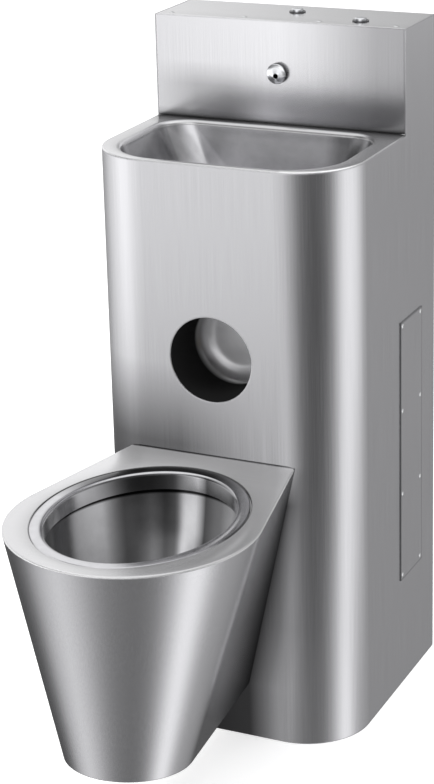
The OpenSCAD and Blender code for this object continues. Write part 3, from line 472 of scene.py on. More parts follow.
# Pan's sides darker towards the column as painted shade and painted dark reflection, over their height and more at
# their lower part
FLANK_SHADE = [(-0.8, 1.0), (-0.56, 1.0), (-0.37, 0.6)]
FLANK_SHADE_LOW = [(-0.8, 1.0), (-0.61, 1.0), (-0.52, 0.75), (-0.37, 0.38)]
# Outlet's jet, painted black as the shade inside its bore, and the side of its head behind its face, darkened as
# painted shade
NOZZLE_SHADE = [(0.0, 0.02), (0.0035, 0.02), (0.0039, 1.0), (0.03, 1.0)]
SPOUT_SHADE = [(-0.135, 1.0), (-0.1278, 1.0), (-0.1268, 0.13), (-0.08, 0.13)]
# Splash panel across, at the left of its lower part, and over its height: painted reflection, darker to the right, at
# its left edge and at the left of its lower part, and painted shade along its foot at the basin's deck
SPLASH_SHADE_X = [(-0.195, 0.85), (0.0, 1.0), (0.05, 0.9), (0.15, 0.52), (0.2, 0.48)]
SPLASH_SHADE_LEFT = [(-0.195, 0.9), (-0.13, 0.62), (-0.08, 0.66), (-0.02, 1.0), (0.2, 1.0)]
SPLASH_SHADE_Z = [(0.845, 0.3), (0.852, 0.35), (0.856, 0.75), (0.864, 1.0), (1.0, 1.0)]
# Top cover behind its front edge, which keeps the full tone as a painted highlight
COVER_HIGHLIGHT = [(-0.125, 1.0), (-0.1142, 1.0), (-0.1128, 0.8), (-0.08, 0.86), (0.0, 0.86)]
# Basin's deck darker towards the panel as painted shade, and darker on its flat than at its edges, which show as
# painted highlights
BACK_SHADE = [(-0.4, 1.0), (-0.165, 1.0), (-0.135, 0.6), (-0.125, 0.3), (-0.115, 0.15)]
BASIN_EDGE_HIGHLIGHT = [(0.84, 1.0), (0.8494, 1.0), (0.84985, 0.7), (0.851, 0.7)]
# Basin's wall up its left back corner, lighter there as a painted reflected highlight, and along its right, darker
# there as a painted dark reflection, where the wall begins, and the basin's floor, held at the wall's share outside
# the painted highlight
CORNER_HIGHLIGHT = [(0.6, 0.47), (0.658, 0.47), (0.672, 0.66), (0.68, 0.76), (0.693, 0.68), (0.703, 0.66), (0.712, 0.64),
                (0.719, 0.47), (1.1, 0.47)]
BASIN_SHADE = [(-0.2, 1.0), (0.08, 1.0), (0.102, 0.5), (0.116, 0.42), (0.122, 0.6), (0.132, 1.0), (0.2, 1.0)]
BASIN_WALL = (0.79, -0.012)
BASIN_FLOOR_SHADE = [(0.7, 0.47), (0.778, 0.47), (0.79, 1.0), (0.86, 1.0)]
# Pan's deck along, across and on its flat: darker to the front and to the right as painted shade, with a painted dark
# line of shade against the column, and darker on its flat than at its edges, which show as painted highlights; and
# how metallic it is along, less than fully so that diffuse light lifts it as painted light where it mirrors the
# column's painted shade
DECK_SHADE = [(-0.8, 0.86), (-0.58, 0.9), (-0.45, 1.0), (-0.3765, 1.0), (-0.374, 0.2), (-0.36, 0.2)]
DECK_SHADE_X = [(-0.2, 1.0), (-0.03, 1.0), (0.06, 0.8), (0.2, 0.74)]
PAN_EDGE_HIGHLIGHT = [(0.42, 1.0), (0.4293, 1.0), (0.4299, 0.78), (0.431, 0.78)]
DECK_METAL_SHARE = [(-0.8, 0.75), (-0.6, 0.72), (-0.45, 0.66), (-0.3765, 0.66), (-0.374, 1.0), (-0.36, 1.0)]
# Groove round the ring, painted dark as shade only at the back
GROOVE_SHADE = [(0.5, 1.0), (0.984, 1.0), (0.994, 0.1), (1.011, 0.1), (1.018, 1.0), (1.9, 1.0)]
GROOVE_BACK = (-0.62, -0.06, "Y")
# Ring's flat and its inner skirt by the angle round the bowl: painted reflections, the flat near black at the back
# and the skirt in light and dark bands
RING_SHADE = [(-180, 1.0), (-85, 1.0), (-60, 0.3), (-40, 0.04), (12, 0.04), (30, 0.6), (42, 1.0), (180, 1.0)]
SKIRT_SHADE = [(-180, 1.0), (-110, 1.0), (-85, 0.8), (-60, 0.45), (-48, 0.3), (-34, 0.14), (-18, 0.16), (-9, 0.12),
               (-1, 0.55), (4, 0.8), (10, 0.1), (26, 0.45), (60, 0.7), (90, 0.5), (180, 0.5)]
# Pan's bowl painted black as shade in the slot under the skirt, and in painted light and dark reflected bands by the
# angle
GAP_SHADE = [(0.380, 1.0), (0.394, 1.0), (0.397, 0.03), (0.404, 0.03), (0.405, 1.0), (0.43, 1.0)]
BOWL_SHADE = [(-180, 0.5), (-110, 0.3), (-80, 0.4), (-60, 0.55), (-50, 0.72), (-37, 0.25), (-22, 0.5), (-15, 0.14),
              (-9, 0.2), (-5, 1.0), (1, 1.0), (7, 0.1), (18, 0.2), (28, 0.5), (50, 0.45), (80, 0.6), (180, 0.5)]
# Roll cup by its depth, its wall painted near black as shade and its back lighter, and how metallic it is: not at all
# on the wall, so that this shows black, and partly at the back, so that lamp light lifts it as painted light
CUP_SHADE = [(-0.372, 0.015), (-0.292, 0.02), (-0.276, 0.4), (-0.266, 0.95), (-0.26, 0.95)]
CUP_METAL_SHARE = [(-0.372, 0.0), (-0.29, 0.0), (-0.278, 0.8), (-0.268, 0.45), (-0.26, 0.45)]
# Hatch along its edges
HATCH_SHADE_Y = [(-0.146, 0.6), (-0.1427, 0.6), (-0.1418, 1.0), (-0.0582, 1.0), (-0.0573, 0.6), (-0.054, 0.6)]
HATCH_SHADE_Z = [(0.168, 0.6), (0.1735, 0.6), (0.1745, 1.0), (0.5745, 1.0), (0.5755, 0.6), (0.58, 0.6)]

# Tones, how fine the scratches are along X, Y and Z, and how far the edges are rounded
SATIN = (0.655, 0.653, 0.668)
LIGHT = (0.97, 0.968, 0.98)
CHROME = (0.80, 0.81, 0.83)
UPRIGHT = (1400, 1400, 8)
LEVEL = (8, 1400, 1400)
EVEN = (60, 60, 60)
SPUN = (40, 40, 40)
FOLD_R = 0.0025
EDGE_R = 0.0012


def make_materials():
    """Make every material of the unit's pieces."""
    sheet_steel("satin_steel", SATIN, UPRIGHT, aniso=0.5, edge=FOLD_R)
    sheet_steel("column_steel", SATIN, UPRIGHT, aniso=0.5, edge=FOLD_R,
                shades=(("X", FRONT_SHADE, 0.44, 0.12), ("BESIDE", BESIDE_SHADE, 0.37, 0.06)))
    sheet_steel("skin_steel", SATIN, UPRIGHT, aniso=0.5, edge=EDGE_R,
                shades=(("Y", FLANK_SHADE), ("Y", FLANK_SHADE_LOW, 0.26, 0.14)))
    brushed_steel("spout_steel", CHROME, 0.12, 0.02, (900, 900, 900), 0.01,
                  shades=(("NOZZLE", NOZZLE_SHADE), ("Y", SPOUT_SHADE)))
    sheet_steel("splash_steel", (0.85, 0.848, 0.865), UPRIGHT, aniso=0.5, edge=FOLD_R,
                shades=(("X", SPLASH_SHADE_X), ("Z", SPLASH_SHADE_Z), ("X", SPLASH_SHADE_LEFT, 0.9, 0.035)))
    sheet_steel("cover_steel", LIGHT, LEVEL, edge=EDGE_R, shades=(("Y", COVER_HIGHLIGHT),))
    sheet_steel("deck_steel", LIGHT, LEVEL, edge=EDGE_R, polish=("Y", DECK_METAL_SHARE),
                shades=(("OVAL", GROOVE_SHADE, *GROOVE_BACK), ("Y", DECK_SHADE), ("X", DECK_SHADE_X),
                        ("Z", PAN_EDGE_HIGHLIGHT)))
    sheet_steel("basin_deck_steel", LIGHT, LEVEL, edge=EDGE_R,
                shades=(("Y", BACK_SHADE), ("Z", BASIN_EDGE_HIGHLIGHT)))
    brushed_steel("bowl_steel", (0.885, 0.882, 0.905), 0.19, 0.02, EVEN, 0.012,
                  shades=(("CORNER", CORNER_HIGHLIGHT, *BASIN_WALL), ("X", BASIN_SHADE, *BASIN_WALL),
                          ("Z", BASIN_FLOOR_SHADE)))
    brushed_steel("pan_bowl_steel", (0.54, 0.539, 0.55), 0.2, 0.02, EVEN, 0.03,
                  shades=(("Z", GAP_SHADE), ("TURN", BOWL_SHADE)))
    brushed_steel("cup_steel", (0.94, 0.938, 0.95), 0.3, 0.02, SPUN, 0.02,
                  shades=(("Y", CUP_SHADE),), polish=("Y", CUP_METAL_SHARE))
    brushed_steel("rim_steel", (0.62, 0.618, 0.632), 0.2, 0.02, EVEN, 0.02,
                  shades=(("TURN", SKIRT_SHADE, 0.4265), ("OVAL", GROOVE_SHADE, *GROOVE_BACK),
                          ("TURN", RING_SHADE, 0.4294, -0.0006)))
    sheet_steel("hatch_steel", SATIN, UPRIGHT, aniso=0.5, shades=(("Y", HATCH_SHADE_Y), ("Z", HATCH_SHADE_Z)))
    brushed_steel("plain_steel", (0.52, 0.525, 0.53), 0.36, 0.06, SPUN, 0.10)
    brushed_steel("bright_steel", (0.74, 0.745, 0.75), 0.14, 0.03, (120, 120, 120), 0.04)
    cast_or_moulded("chrome", CHROME, 0.06, metallic=1.0, bump=0.01, vary=0.03)
    # Sleeves round the push-buttons: a dark tone as painted shade round the buttons
    cast_or_moulded("collar_steel", (0.12, 0.12, 0.125), 0.25, metallic=1.0, bump=0.02)
    cast_or_moulded("brass", (0.70, 0.54, 0.27), 0.30, metallic=1.0, bump=0.15)
    cast_or_moulded("rubber", (0.03, 0.03, 0.032), 0.62, grain=900, bump=0.25)
    cast_or_moulded("white_plastic", (0.78, 0.78, 0.75), 0.32, bump=0.06, vary=0.04)
    cast_or_moulded("dark_plastic", (0.05, 0.055, 0.06), 0.45, bump=0.2)
    cast_or_moulded("red_lever", (0.50, 0.03, 0.025), 0.38, bump=0.1, coat=0.3)
    cast_or_moulded("blue_lever", (0.03, 0.12, 0.42), 0.38, bump=0.1, coat=0.3)
    brushed_steel("braided_hose", (0.58, 0.585, 0.59), 0.30, 0.08, (500, 500, 900), 0.5)


# Operators

class UnitSizes(bpy.types.PropertyGroup):
    """Sizes that the dressed pieces share with the construction."""
    def length(name, value, about):
        """Size in metres with what it measures."""
        return FloatProperty(name=name, description=about, default=value, unit="LENGTH", subtype="DISTANCE")
    body_w: length("Body width", 0.390, "Width of the column")
    body_d: length("Body depth", 0.370, "Depth of the column")
    deck_h: length("Deck height", 0.850, "Height of the basin deck")
    box_d: length("Box depth", 0.120, "Depth of the cabinet behind the splashback")
    corner_r: length("Corner radius", 0.095, "Radius of the column's front corners")
    sheet: length("Sheet", 0.002, "Thickness of the stainless sheet")
    bowl_w: length("Bowl width", 0.332, "Width of the basin's opening")
    bowl_y0: length("Bowl front", -0.356, "Front edge of the basin's opening")
    bowl_y1: length("Bowl back", -0.138, "Back edge of the basin's opening")
    bowl_depth: length("Bowl depth", 0.128, "Depth of the basin")
    bowl_roll: length("Bowl roll", 0.007, "Radius of the basin's rolled edge")
    pan_h: length("Pan height", 0.430, "Height of the pan's deck")
    pan_deck_t: length("Pan deck thickness", 0.003, "Thickness of the pan's deck")
    rim_w: length("Rim width", 2 * RIM_HALF_W, "Width of the rim ring")
    rim_l: length("Rim length", 2 * RIM_HALF_L, "Length of the rim ring")
    rim_y: length("Rim centre", RIM_CENTRE_Y, "Centre of the rim ring")
    rim_land: length("Rim land", 0.018, "Width of the ring's flat land")
    rim_drop: length("Rim drop", 0.026, "Height of the skirt under the ring")
    flush_h: length("Flush height", 0.402, "Height of the flush pipe's run to the pan")
    flush_r: length("Flush radius", 0.014, "Radius of the flush pipe")
    flush_bend: length("Flush bend", 0.032, "Radius of the flush pipe's bends")
    flush_end: length("Flush end", -0.4312, "Where the flush pipe ends in the bowl's wall")
    valve_x: length("Valve place", 0.135, "Flush valve from the middle")
    valve_y: length("Valve depth", 0.125, "Flush valve from the wall")
    valve_low: length("Valve foot", 0.472, "Lower end of the flush valve")
    tap_button_y: length("Tap button", 0.046, "Tap's button from the wall")
    flush_button_x: length("Flush button place", 0.113, "Flush button from the middle")
    flush_button_y: length("Flush button", 0.083, "Flush button from the wall")
    button_travel: length("Button travel", 0.004, "How far a button goes down")
    spring_low: length("Spring foot", 0.963, "Height of the springs' lower end")
    spring_high: length("Spring head", 0.9915, "Height of the springs' upper end")
    coil_r: length("Coil radius", 0.0059, "Radius of the springs' coil")
    wire_r: length("Wire radius", 0.0007, "Radius of the springs' wire")
    spout_h: length("Spout height", 0.925, "Height of the spout's axis")
    spout_r: length("Spout radius", 0.015, "Radius of the spout's head")
    spout_reach: length("Spout reach", 0.0095, "How far the spout stands out")
    shank_r: length("Shank radius", 0.008, "Radius of the spout's threaded shank")
    shank_l: length("Shank length", 0.030, "Length of the spout's shank behind the panel")
    jet_r: length("Jet radius", 0.0034, "Radius of the spout's jet")
    jet_drop: length("Jet drop", 0.003, "Jet under the spout's axis")
    outline_steps: IntProperty(name="Outline steps", description="Points in each corner of an outline", default=20)
    oval_steps: IntProperty(name="Oval steps", description="Points round an oval", default=160)


# Pieces whose material differs from the rest of their slot: by painted shade, painted reflections and painted
# highlights, and for some by polish
OVER_SLOT = {"roll_cup": "cup_steel", "side_hatch": "hatch_steel", "tap_sleeve": "collar_steel",
             "flush_sleeve": "collar_steel", "body_shell": "column_steel", "splashback": "splash_steel",
             "top_cover": "cover_steel"}


class UNIT_OT_dress_frame(bpy.types.Operator):
    """Give every construction piece its material"""
    bl_idname = "unit.dress_frame"
    bl_label = "Dress Frame"

    def execute(self, context):
        make_materials()
        slots = {part["node"]: part["material_slot"] for part in frame["record"]["subparts"]}
        for name, node in frame["nodes"].items():
            material = MATERIALS[OVER_SLOT.get(name, slots[name])]
            node.data.materials.clear()
            node.data.materials.append(material)
        return {"FINISHED"}


class UNIT_OT_add_basin(bpy.types.Operator):
    """Build the basin's deck with its rolled edge, and the pressed bowl"""
    bl_idname = "unit.add_basin"
    bl_label = "Add Basin"

    def execute(self, context):
        s = context.scene.unit_sizes
        n = s.outline_steps
        front_r, back_r = 0.080, 0.045

        def opening(grow):
            """Basin's opening, wider by grow all round."""
            return rounded_box(s.bowl_w + 2 * grow, s.bowl_y0 - grow, s.bowl_y1 + grow,
                               front_r + grow, back_r + grow, n)

        outer = rounded_box(s.body_w, -s.body_d, -s.box_d + s.sheet, s.corner_r, SQUARE_R, n)
        roll = s.bowl_roll
        rings = [lift(outer, s.deck_h - s.sheet), lift(outer, s.deck_h - 0.0018),
                 lift(mix(outer, opening(roll), 0.06), s.deck_h - 0.0005),
                 lift(mix(outer, opening(roll), 0.14), s.deck_h)]
        rings += [lift(opening(roll * (1 - math.sin(a))), s.deck_h - roll * (1 - math.cos(a)))
                  for a in quarter(7)]
        rings += [lift(opening(s.sheet * 0.5), s.deck_h - roll - 0.001),
                  lift(opening(roll + s.sheet), s.deck_h - s.sheet)]
        deck = make_piece("basin_deck_dressed", *loft(rings), "basin_deck_steel", "satin_steel")
        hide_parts("basin_deck")

        waste_y, waste_r, sump_r = -0.225, 0.021, 0.034
        floor_w, floor_l, floor_r = 0.150, 0.096, 0.040
        # Share of the way from the opening to the floor, and share of the depth
        rows = smooth_table([(0, 0.055), (0.05, 0.16), (0.15, 0.32), (0.30, 0.52), (0.50, 0.72), (0.72, 0.87),
                             (0.92, 0.945), (1.12, 0.975)], 5)

        def ring(t, share, grow, drop):
            """Ring of the bowl's wall."""
            floor = rounded_box(floor_w + 2 * grow, waste_y - floor_l / 2 - grow, waste_y + floor_l / 2 + grow,
                                floor_r + grow, floor_r + grow, n)
            return lift(mix(opening(grow), floor, t), s.deck_h - s.bowl_depth * share - drop)

        def sump(grow, drop, r):
            """Round ring of the bowl's floor about the waste."""
            return lift(rounded_box(2 * (r + grow), waste_y - r - grow, waste_y + r + grow, r + grow, r + grow, n),
                        s.deck_h - s.bowl_depth - drop)

        inner = [ring(t, share, 0, 0) for t, share in rows] + [sump(0, 0, sump_r), sump(0, 0, waste_r)]
        outside = [ring(t, share, s.sheet, s.sheet * 0.9) for t, share in rows]
        outside += [sump(s.sheet, s.sheet, sump_r), sump(0, s.sheet, waste_r)]
        bowl = make_piece("basin_bowl_dressed", *loft(inner + outside[::-1]), "bowl_steel", "satin_steel")
        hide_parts("basin_bowl")
        return {"FINISHED"}


class UNIT_OT_add_spout(bpy.types.Operator):
    """Turn the spout's head with its conical face, its jet and its threaded shank"""
    bl_idname = "unit.add_spout"
    bl_label = "Add Spout"

    def execute(self, context):
        s = context.scene.unit_sizes
        r, shank_r, jet_r, front = s.spout_r, s.shank_r, s.jet_r, s.spout_reach
        # Radius, way out of the panel and drop of each ring, from the jet over the face and the rim to the shank
        rows = [(jet_r, 0.35 * front, s.jet_drop), (jet_r, 0.98 * front, s.jet_drop),
                (jet_r + 0.0006, 1.02 * front, s.jet_drop), (jet_r + 0.0014, front, s.jet_drop),
                (0.63 * r, 0.92 * front, 0.2 * s.jet_drop), (0.91 * r, 0.86 * front, 0),
                (0.97 * r, 0.80 * front, 0), (r, 0.71 * front, 0), (r, 0, 0), (shank_r, 0, 0),
                (shank_r, -s.shank_l, 0), (shank_r / 2, -s.shank_l, 0), (shank_r / 2, 0.35 * front, 0)]
        count = 96
        rings = [[(radius * math.cos(2 * math.pi * i / count), -s.box_d - out,
                   s.spout_h - drop + radius * math.sin(2 * math.pi * i / count)) for i in range(count)]
                 for radius, out, drop in rows]
        spout = make_piece("spout_head_dressed", *loft(rings[::-1]), "spout_steel", "chrome")
        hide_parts("spout_head")
        return {"FINISHED"}


# Width at the column, radius of the front and reach of the pan's plan, at its foot and at its deck
PAN_FOOT = (0.096, 0.088, 0.371)
PAN_TOP = (0.250, 0.172, 0.418)
# Height of the pan's foot at the column and at the front
PAN_FOOT_Z = (0.084, 0.115)
# Pieces under the pan's deck, which the column's polished front would otherwise mirror
PAN_GROUP = ("pan_trap", "pan_gussets", "flush_seal", "roll_cup")


def inset_pan(sizes, t, y_wall):
    """Pan's plan, drawn in by t."""
    back_w, r, reach = sizes
    return pan_plan(back_w - 2 * t, r - t, reach - t, y_wall, 90)


def by_angle(plan, cy, steps):
    """Points where rays at even angles from (0, cy) leave a plan."""
    out = []
    centre = Vector((0, cy))
    size = len(plan)
    for i in range(steps):
        way = Vector((math.cos(2 * math.pi * i / steps), math.sin(2 * math.pi * i / steps)))
        for k in range(size):
            a, b = Vector(plan[k]) - centre, Vector(plan[(k + 1) % size]) - centre
            ca, cb = way.cross(a), way.cross(b)
            if ca <= 0 < cb or (ca < 0 <= cb):
                hit = a + (b - a) * (ca / (ca - cb))
                if hit.dot(way) > 0:
                    out.append((centre.x + hit.x, centre.y + hit.y))
                    break
    return out


class UNIT_OT_add_pan(bpy.types.Operator):
    """Build the pan's skin, deck, rim ring and bowl"""
    bl_idname = "unit.add_pan"
    bl_label = "Add Pan"

    def execute(self, context):
        s = context.scene.unit_sizes
        top = s.pan_h - s.pan_deck_t
        for piece in (self.add_shell(s, top), self.add_deck(s, top), self.add_ring(s, top), self.add_bowl(s, top)):
            piece.visible_glossy = False
        for name in PAN_GROUP:
            frame["nodes"][name].visible_glossy = False
        return {"FINISHED"}

    def add_shell(self, s, top):
        """Tapered skin, open at the top and against the column."""
        low_z, front_z = PAN_FOOT_Z

        def low(t):
            """Outline of the foot."""
            slope = (front_z - low_z) / PAN_FOOT[2]
            return [(x, y, low_z + t + slope * (-s.body_d - y)) for x, y in inset_pan(PAN_FOOT, t, -s.body_d)]

        def high(t):
            """Outline under the deck."""
            return lift(inset_pan(PAN_TOP, t, -s.body_d), top)

        levels = 12
        outer = [mix(low(0), high(0), i / levels) for i in range(levels + 1)]
        inner = [mix(low(s.sheet), high(s.sheet), i / levels) for i in range(levels + 1)]
        rings = outer + inner[::-1]
        verts, faces = loft(rings, closed=False)
        count = len(rings[0])
        last = (len(rings) - 1) * count
        # The foot's two plates, then the sheet's edges against the column
        faces.append(tuple(range(count - 1, -1, -1)))
        faces.append(tuple(range(last, last + count)))
        end = count - 1
        for j in range(levels):
            a, b = j * count, last - j * count
            faces.append((a, a + count, b - count, b))
            faces.append((b + end, b - count + end, a + count + end, a + end))
        faces.append((0, last, last + end, end))
        shell = make_piece("pan_shell_dressed", verts, faces, "skin_steel", "satin_steel", crease=PAN_CREASE)
        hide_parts("pan_shell")
        return shell

    def add_deck(self, s, top):
        """Deck with a rolled outer edge and the hole that the ring sits in."""
        edge, gap = s.pan_deck_t, 0.001

        def outline(t):
            """Deck's outline, drawn in by t."""
            return by_angle(inset_pan(PAN_TOP, t, -s.body_d), s.rim_y, s.oval_steps)

        def hole(grow):
            """Hole, wider by grow than the ring."""
            return by_angle(oval(s.rim_w + 2 * grow, s.rim_l + 2 * grow, s.rim_y, 720), s.rim_y, s.oval_steps)

        rings = [lift(outline(0), top)]
        rings += [lift(outline(edge * 0.8 * (1 - math.cos(a))), top + edge * math.sin(a)) for a in quarter(5)[1:]]
        rings += [lift(hole(gap + 0.0012), s.pan_h), lift(hole(gap + 0.0003), s.pan_h - 0.0003),
                  lift(hole(gap), s.pan_h - 0.0012), lift(hole(gap), top)]
        deck = make_piece("pan_deck_dressed", *loft(rings), "deck_steel", "satin_steel")
        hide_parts("pan_deck")
        return deck

    def add_ring(self, s, top):
        """Rim ring with its flat land, its rolled inner edge and its skirt."""
        roll = 0.006
        land = s.rim_land

        def rim(grow):
            """Ring's outline, wider by grow."""
            return oval(s.rim_w + 2 * grow, s.rim_l + 2 * grow, s.rim_y, s.oval_steps)

        rings = [lift(rim(0), top), lift(rim(0), s.pan_h - 0.0012), lift(rim(-0.0004), s.pan_h - 0.0003),
                 lift(rim(-0.0014), s.pan_h)]
        rings += [lift(rim(-land + roll * (1 - math.sin(a))), s.pan_h - roll * (1 - math.cos(a)))
                  for a in quarter(7)]
        rings += [lift(rim(-land), s.pan_h - s.rim_drop), lift(rim(-land + s.sheet), s.pan_h - s.rim_drop),
                  lift(rim(-land + s.sheet), s.pan_h - roll), lift(rim(-land + roll), top)]
        ring = make_piece("rim_ring_dressed", *loft(rings), "rim_steel", "bright_steel")
        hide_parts("rim_ring")
        return ring

    def add_bowl(self, s, top):
        """Bowl from the deck down to the trap's throat."""
        trap_y, throat, sump_r = -0.572, 0.036, 0.041
        floor_z, inset = 0.191, 0.016
        m = s.oval_steps
        # Share of the way from the rim to the sump, and share of the depth
        rows = smooth_table([(0, 0.02), (0.02, 0.12), (0.06, 0.25), (0.14, 0.42), (0.30, 0.62), (0.55, 0.80),
                             (0.82, 0.93), (0.97, 0.985), (1, 1)], 5)

        def bowl_ring(t, share, grow):
            """Ring of the bowl's wall."""
            wide = oval(s.rim_w - inset + 2 * grow, s.rim_l - inset + 2 * grow, s.rim_y, m)
            tight = oval(2 * (sump_r + grow), 2 * (sump_r + grow), trap_y, m)
            return lift(mix(wide, tight, t), top - (top - floor_z) * share - grow)

        inner = [bowl_ring(t, share, 0) for t, share in rows]
        inner += [lift(oval(2 * throat, 2 * throat, trap_y, m), floor_z)]
        outside = [bowl_ring(t, share, s.sheet) for t, share in rows]
        outside += [lift(oval(2 * throat, 2 * throat, trap_y, m), floor_z - s.sheet)]
        bowl = make_piece("pan_bowl_dressed", *loft(inner + outside[::-1]), "pan_bowl_steel", "satin_steel")
        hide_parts("pan_bowl")
        return bowl


# Strength of the surroundings, and their brightness by azimuth, 0 being the viewer's side and 90 the right
STUDIO = 1.6
BANDS_LOW = [(-180, 0.07), (-140, 0.08), (-115, 0.10), (-95, 0.2), (-75, 0.65), (-52, 1.0), (-34, 0.75), (-15, 0.42),
             (2, 0.26), (30, 0.2), (52, 0.28), (68, 0.65), (85, 1.4), (98, 1.3), (108, 0.8), (122, 0.48), (148, 0.40),
             (165, 0.30), (180, 0.1)]
BANDS_MID = [(-180, 0.3), (-140, 0.2), (-110, 0.12), (-84, 0.1), (-50, 0.05), (-27, 0.12), (-21, 0.45), (-14, 0.75),
             (-6, 1.0), (0, 0.95), (7, 0.46), (18, 0.19), (32, 0.10), (50, 0.09), (66, 0.17), (79, 0.47), (92, 1.2),
             (106, 1.2), (122, 0.85), (138, 0.6), (150, 0.4), (180, 0.2)]
BANDS_LEVEL = [(-180, 0.35), (-144, 0.36), (-120, 0.5), (-104, 0.85), (-84, 1.2), (-62, 1.6), (-46, 1.3), (-30, 1.02),
               (-16, 0.9), (-4, 0.72), (7, 0.46), (18, 0.19), (32, 0.10), (50, 0.09), (66, 0.17), (79, 0.47),
               (92, 1.12), (106, 1.35), (122, 1.2), (138, 0.8), (150, 0.42), (180, 0.2)]
BANDS_EYE = [(-180, 0.5), (-120, 0.8), (-62, 1.6), (-30, 1.25), (-16, 1.3), (-8, 1.05), (0, 0.62), (10, 0.4),
             (50, 0.2), (80, 0.6), (106, 1.0), (140, 0.75), (180, 0.6)]
BANDS_HIGH = [(-180, 0.1), (-162, 0.3), (-150, 1.0), (-125, 0.9), (-95, 0.55), (-60, 0.12), (-34, 0.35),
              (-18, 0.9), (-6, 1.5), (14, 1.4), (40, 0.6), (60, 0.3), (95, 0.4), (125, 0.6), (150, 0.4), (180, 0.1)]
BANDS_TOP = [(-180, 0.45), (-162, 0.7), (-150, 1.15), (-135, 1.15), (-110, 0.7), (-60, 0.2), (-18, 0.35),
             (-4, 0.9), (20, 0.8), (60, 0.3), (120, 0.42), (150, 0.38), (180, 0.45)]
BANDS_ZENITH = [(-180, 1.15), (180, 1.15)]
BANDS = (BANDS_LOW, BANDS_MID, BANDS_LEVEL, BANDS_EYE, BANDS_HIGH, BANDS_TOP, BANDS_ZENITH)
# Sine of the elevation over which each band passes into the next
BAND_EDGES = [(-0.46, -0.41), (-0.372, -0.338), (-0.24, -0.12), (-0.05, 0.12), (0.26, 0.34), (0.55, 0.75)]
# Name, place, aim, size and power of each lamp
LAMPS = (("key", (-1.8, -2.2, 2.8), (0, -0.3, 0.6), 1.6, 60), ("fill", (2.6, -1.4, 1.8), (0, -0.3, 0.5), 1.8, 18))
# Camera fitted to the photograph: metres, radians for yaw, pitch and roll, and the photograph's pixels
CAMERA_PLACE = (1.264852, -2.996677, 1.603204)
CAMERA_TURNS = (-0.436, -0.307, -0.024)
PHOTO_SIZE = (434, 784)
PHOTO_MIDDLE = (235.473, 285.421)
PHOTO_FOCAL = 2232.303
FLOOR_HALF = 12.0
FLOOR_Z = -0.0005


class UNIT_OT_add_flush_pipe(bpy.types.Operator):
    """Sweep the flush pipe from the valve to the bowl's wall"""
    bl_idname = "unit.add_flush_pipe"
    bl_label = "Add Flush Pipe"

    def execute(self, context):
        s = context.scene.unit_sizes
        route = [(s.valve_x, -s.valve_y, s.valve_low), (s.valve_x, -s.valve_y, s.flush_h),
                 (0, -s.valve_y, s.flush_h), (0, s.flush_end, s.flush_h)]
        pipe = swept_piece("flush_pipe_dressed", tube_nodes(), straight_path("flush_route", route),
                           "plain_steel", "plain_steel", radius=s.flush_r, bend_radius=s.flush_bend)
        pipe.visible_glossy = False
        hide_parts("flush_pipe")
        return {"FINISHED"}


class UNIT_OT_add_springs(bpy.types.Operator):
    """Wind the springs under the push-buttons"""
    bl_idname = "unit.add_springs"
    bl_label = "Add Springs"

    def execute(self, context):
        s = context.scene.unit_sizes
        high = s.spring_high - s.spring_low
        for name, x, y in (("tap", 0.0, -s.tap_button_y), ("flush", s.flush_button_x, -s.flush_button_y)):
            spring = swept_piece(
                name + "_spring_dressed", spring_nodes(), bpy.data.meshes.new(name + "_spring_start"),
                "bright_steel", "bright_steel", radius=s.wire_r, sides=12, turns=5.0,
                coil_radius=s.coil_r, height=high - 2 * s.wire_r, foot=(x, y, s.spring_low + s.wire_r))
            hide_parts(name + "_spring")
            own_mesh(spring)
        return {"FINISHED"}


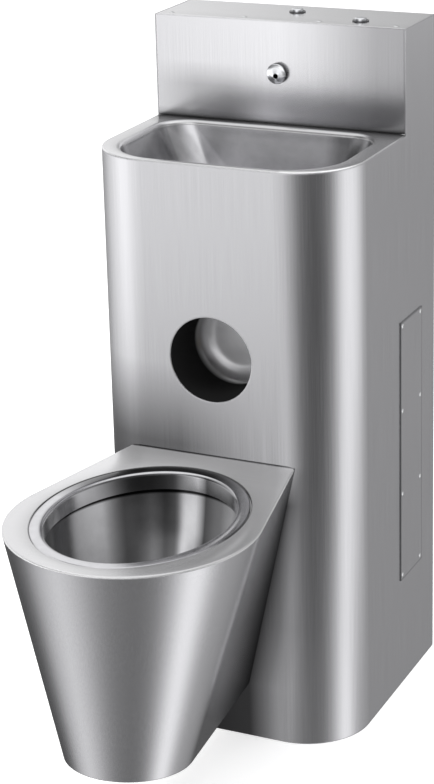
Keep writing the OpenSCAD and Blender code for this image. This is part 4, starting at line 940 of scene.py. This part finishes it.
class UNIT_OT_add_stage(bpy.types.Operator):
    """Set the floor, the lights, the surroundings and the camera"""
    bl_idname = "unit.add_stage"
    bl_label = "Add Stage"

    def execute(self, context):
        scene = context.scene
        mesh = bpy.data.meshes.new("floor")
        corners = ((-1, -1), (1, -1), (1, 1), (-1, 1))
        mesh.from_pydata([(x * FLOOR_HALF, y * FLOOR_HALF, FLOOR_Z) for x, y in corners], [], [(0, 1, 2, 3)])
        material, nodes, links, shader = new_material("floor")
        shader.inputs["Base Color"].default_value = (0.92, 0.92, 0.92, 1)
        shader.inputs["Roughness"].default_value = 0.8
        shader.inputs["Emission Color"].default_value = (1, 1, 1, 1)
        shader.inputs["Emission Strength"].default_value = 0.5
        mesh.materials.append(material)
        floor = bpy.data.objects.new("floor", mesh)
        floor.visible_glossy = False
        scene.collection.objects.link(floor)
        self.add_world(scene)
        self.add_lights(scene)
        self.add_camera(scene)
        scene.view_settings.view_transform = "Standard"
        return {"FINISHED"}

    def add_world(self, scene):
        """Surroundings of the bands, plain white to the camera."""
        world = bpy.data.worlds.new("studio")
        world.use_nodes = True
        nodes, links = world.node_tree.nodes, world.node_tree.links
        background = nodes["Background"]
        coords = nodes.new("ShaderNodeTexCoord")
        split = nodes.new("ShaderNodeSeparateXYZ")
        links.new(coords.outputs["Generated"], split.inputs["Vector"])
        front = calculated(nodes, links, "MULTIPLY", split.outputs["Y"], -1.0)
        azimuth = calculated(nodes, links, "ARCTAN2", split.outputs["X"], front)
        turn = ranged(nodes, links, azimuth, 0.0, 1.0, (-math.pi, math.pi))

        def tint(tone):
            """Colour of a band, with a trace of blue."""
            return (tone / STUDIO, tone / STUDIO, tone * 1.01 / STUDIO, 1)

        around, *higher = (ramped(nodes, links, turn, stops, tint) for stops in BANDS)
        for edge, band in zip(BAND_EDGES, higher):
            step = ranged(nodes, links, split.outputs["Z"], 0.0, 1.0, edge)
            around = blended(nodes, links, around, band, step)
        path = nodes.new("ShaderNodeLightPath")
        white = (1 / STUDIO, 1 / STUDIO, 1 / STUDIO, 1)
        seen = blended(nodes, links, around, white, path.outputs["Is Camera Ray"])
        links.new(seen, background.inputs["Color"])
        background.inputs["Strength"].default_value = STUDIO
        scene.world = world

    def add_lights(self, scene):
        """Two round lamps, which mirrors leave out."""
        for name, at, target, size, power in LAMPS:
            light = bpy.data.lights.new(name, "AREA")
            light.shape = "DISK"
            light.size = size
            light.energy = power
            lamp = bpy.data.objects.new(name, light)
            lamp.location = at
            lamp.visible_glossy = False
            lamp.rotation_euler = (Vector(target) - Vector(at)).to_track_quat("-Z", "Y").to_euler()
            scene.collection.objects.link(lamp)

    def add_camera(self, scene):
        """Camera at the photograph's angle."""
        yaw, pitch, roll = CAMERA_TURNS
        ahead = Vector((math.sin(yaw) * math.cos(pitch), math.cos(yaw) * math.cos(pitch), math.sin(pitch)))
        right = Vector((math.cos(yaw), -math.sin(yaw), 0))
        up = right.cross(ahead)
        right, up = (right * math.cos(roll) + up * math.sin(roll), up * math.cos(roll) - right * math.sin(roll))
        data = bpy.data.cameras.new("camera")
        frame_w, frame_h = PHOTO_SIZE
        data.sensor_width = 36.0
        data.lens = PHOTO_FOCAL / frame_h * data.sensor_width
        data.shift_x = (frame_w / 2 - PHOTO_MIDDLE[0]) / frame_h
        data.shift_y = (PHOTO_MIDDLE[1] - frame_h / 2) / frame_h
        data.clip_end = 50
        camera = bpy.data.objects.new("camera", data)
        place = Matrix((right, up, -ahead)).transposed().to_4x4()
        place.translation = Vector(CAMERA_PLACE)
        camera.matrix_world = place
        scene.collection.objects.link(camera)
        scene.camera = camera


class UNIT_PT_panel(bpy.types.Panel):
    """Buttons for the unit's pieces"""
    bl_label = "Combination Unit"
    bl_space_type = "VIEW_3D"
    bl_region_type = "UI"
    bl_category = "Unit"

    def draw(self, context):
        for operator in OPERATORS:
            self.layout.operator(operator.bl_idname)


OPERATORS = (UNIT_OT_dress_frame, UNIT_OT_add_basin, UNIT_OT_add_spout, UNIT_OT_add_pan, UNIT_OT_add_flush_pipe,
             UNIT_OT_add_springs, UNIT_OT_add_stage)
CLASSES = (UnitSizes, *OPERATORS, UNIT_PT_panel)


def register():
    """Register the classes and the sizes."""
    for cls in CLASSES:
        bpy.utils.register_class(cls)
    bpy.types.Scene.unit_sizes = PointerProperty(type=UnitSizes)


def unregister():
    """Take the sizes and the classes away again."""
    del bpy.types.Scene.unit_sizes
    for cls in reversed(CLASSES):
        bpy.utils.unregister_class(cls)


def main():
    """Build the unit and its stage."""
    register()
    bpy.ops.unit.dress_frame()
    bpy.ops.unit.add_basin()
    bpy.ops.unit.add_spout()
    bpy.ops.unit.add_pan()
    bpy.ops.unit.add_flush_pipe()
    bpy.ops.unit.add_springs()
    bpy.ops.unit.add_stage()


if __name__ == "__main__":
    main()
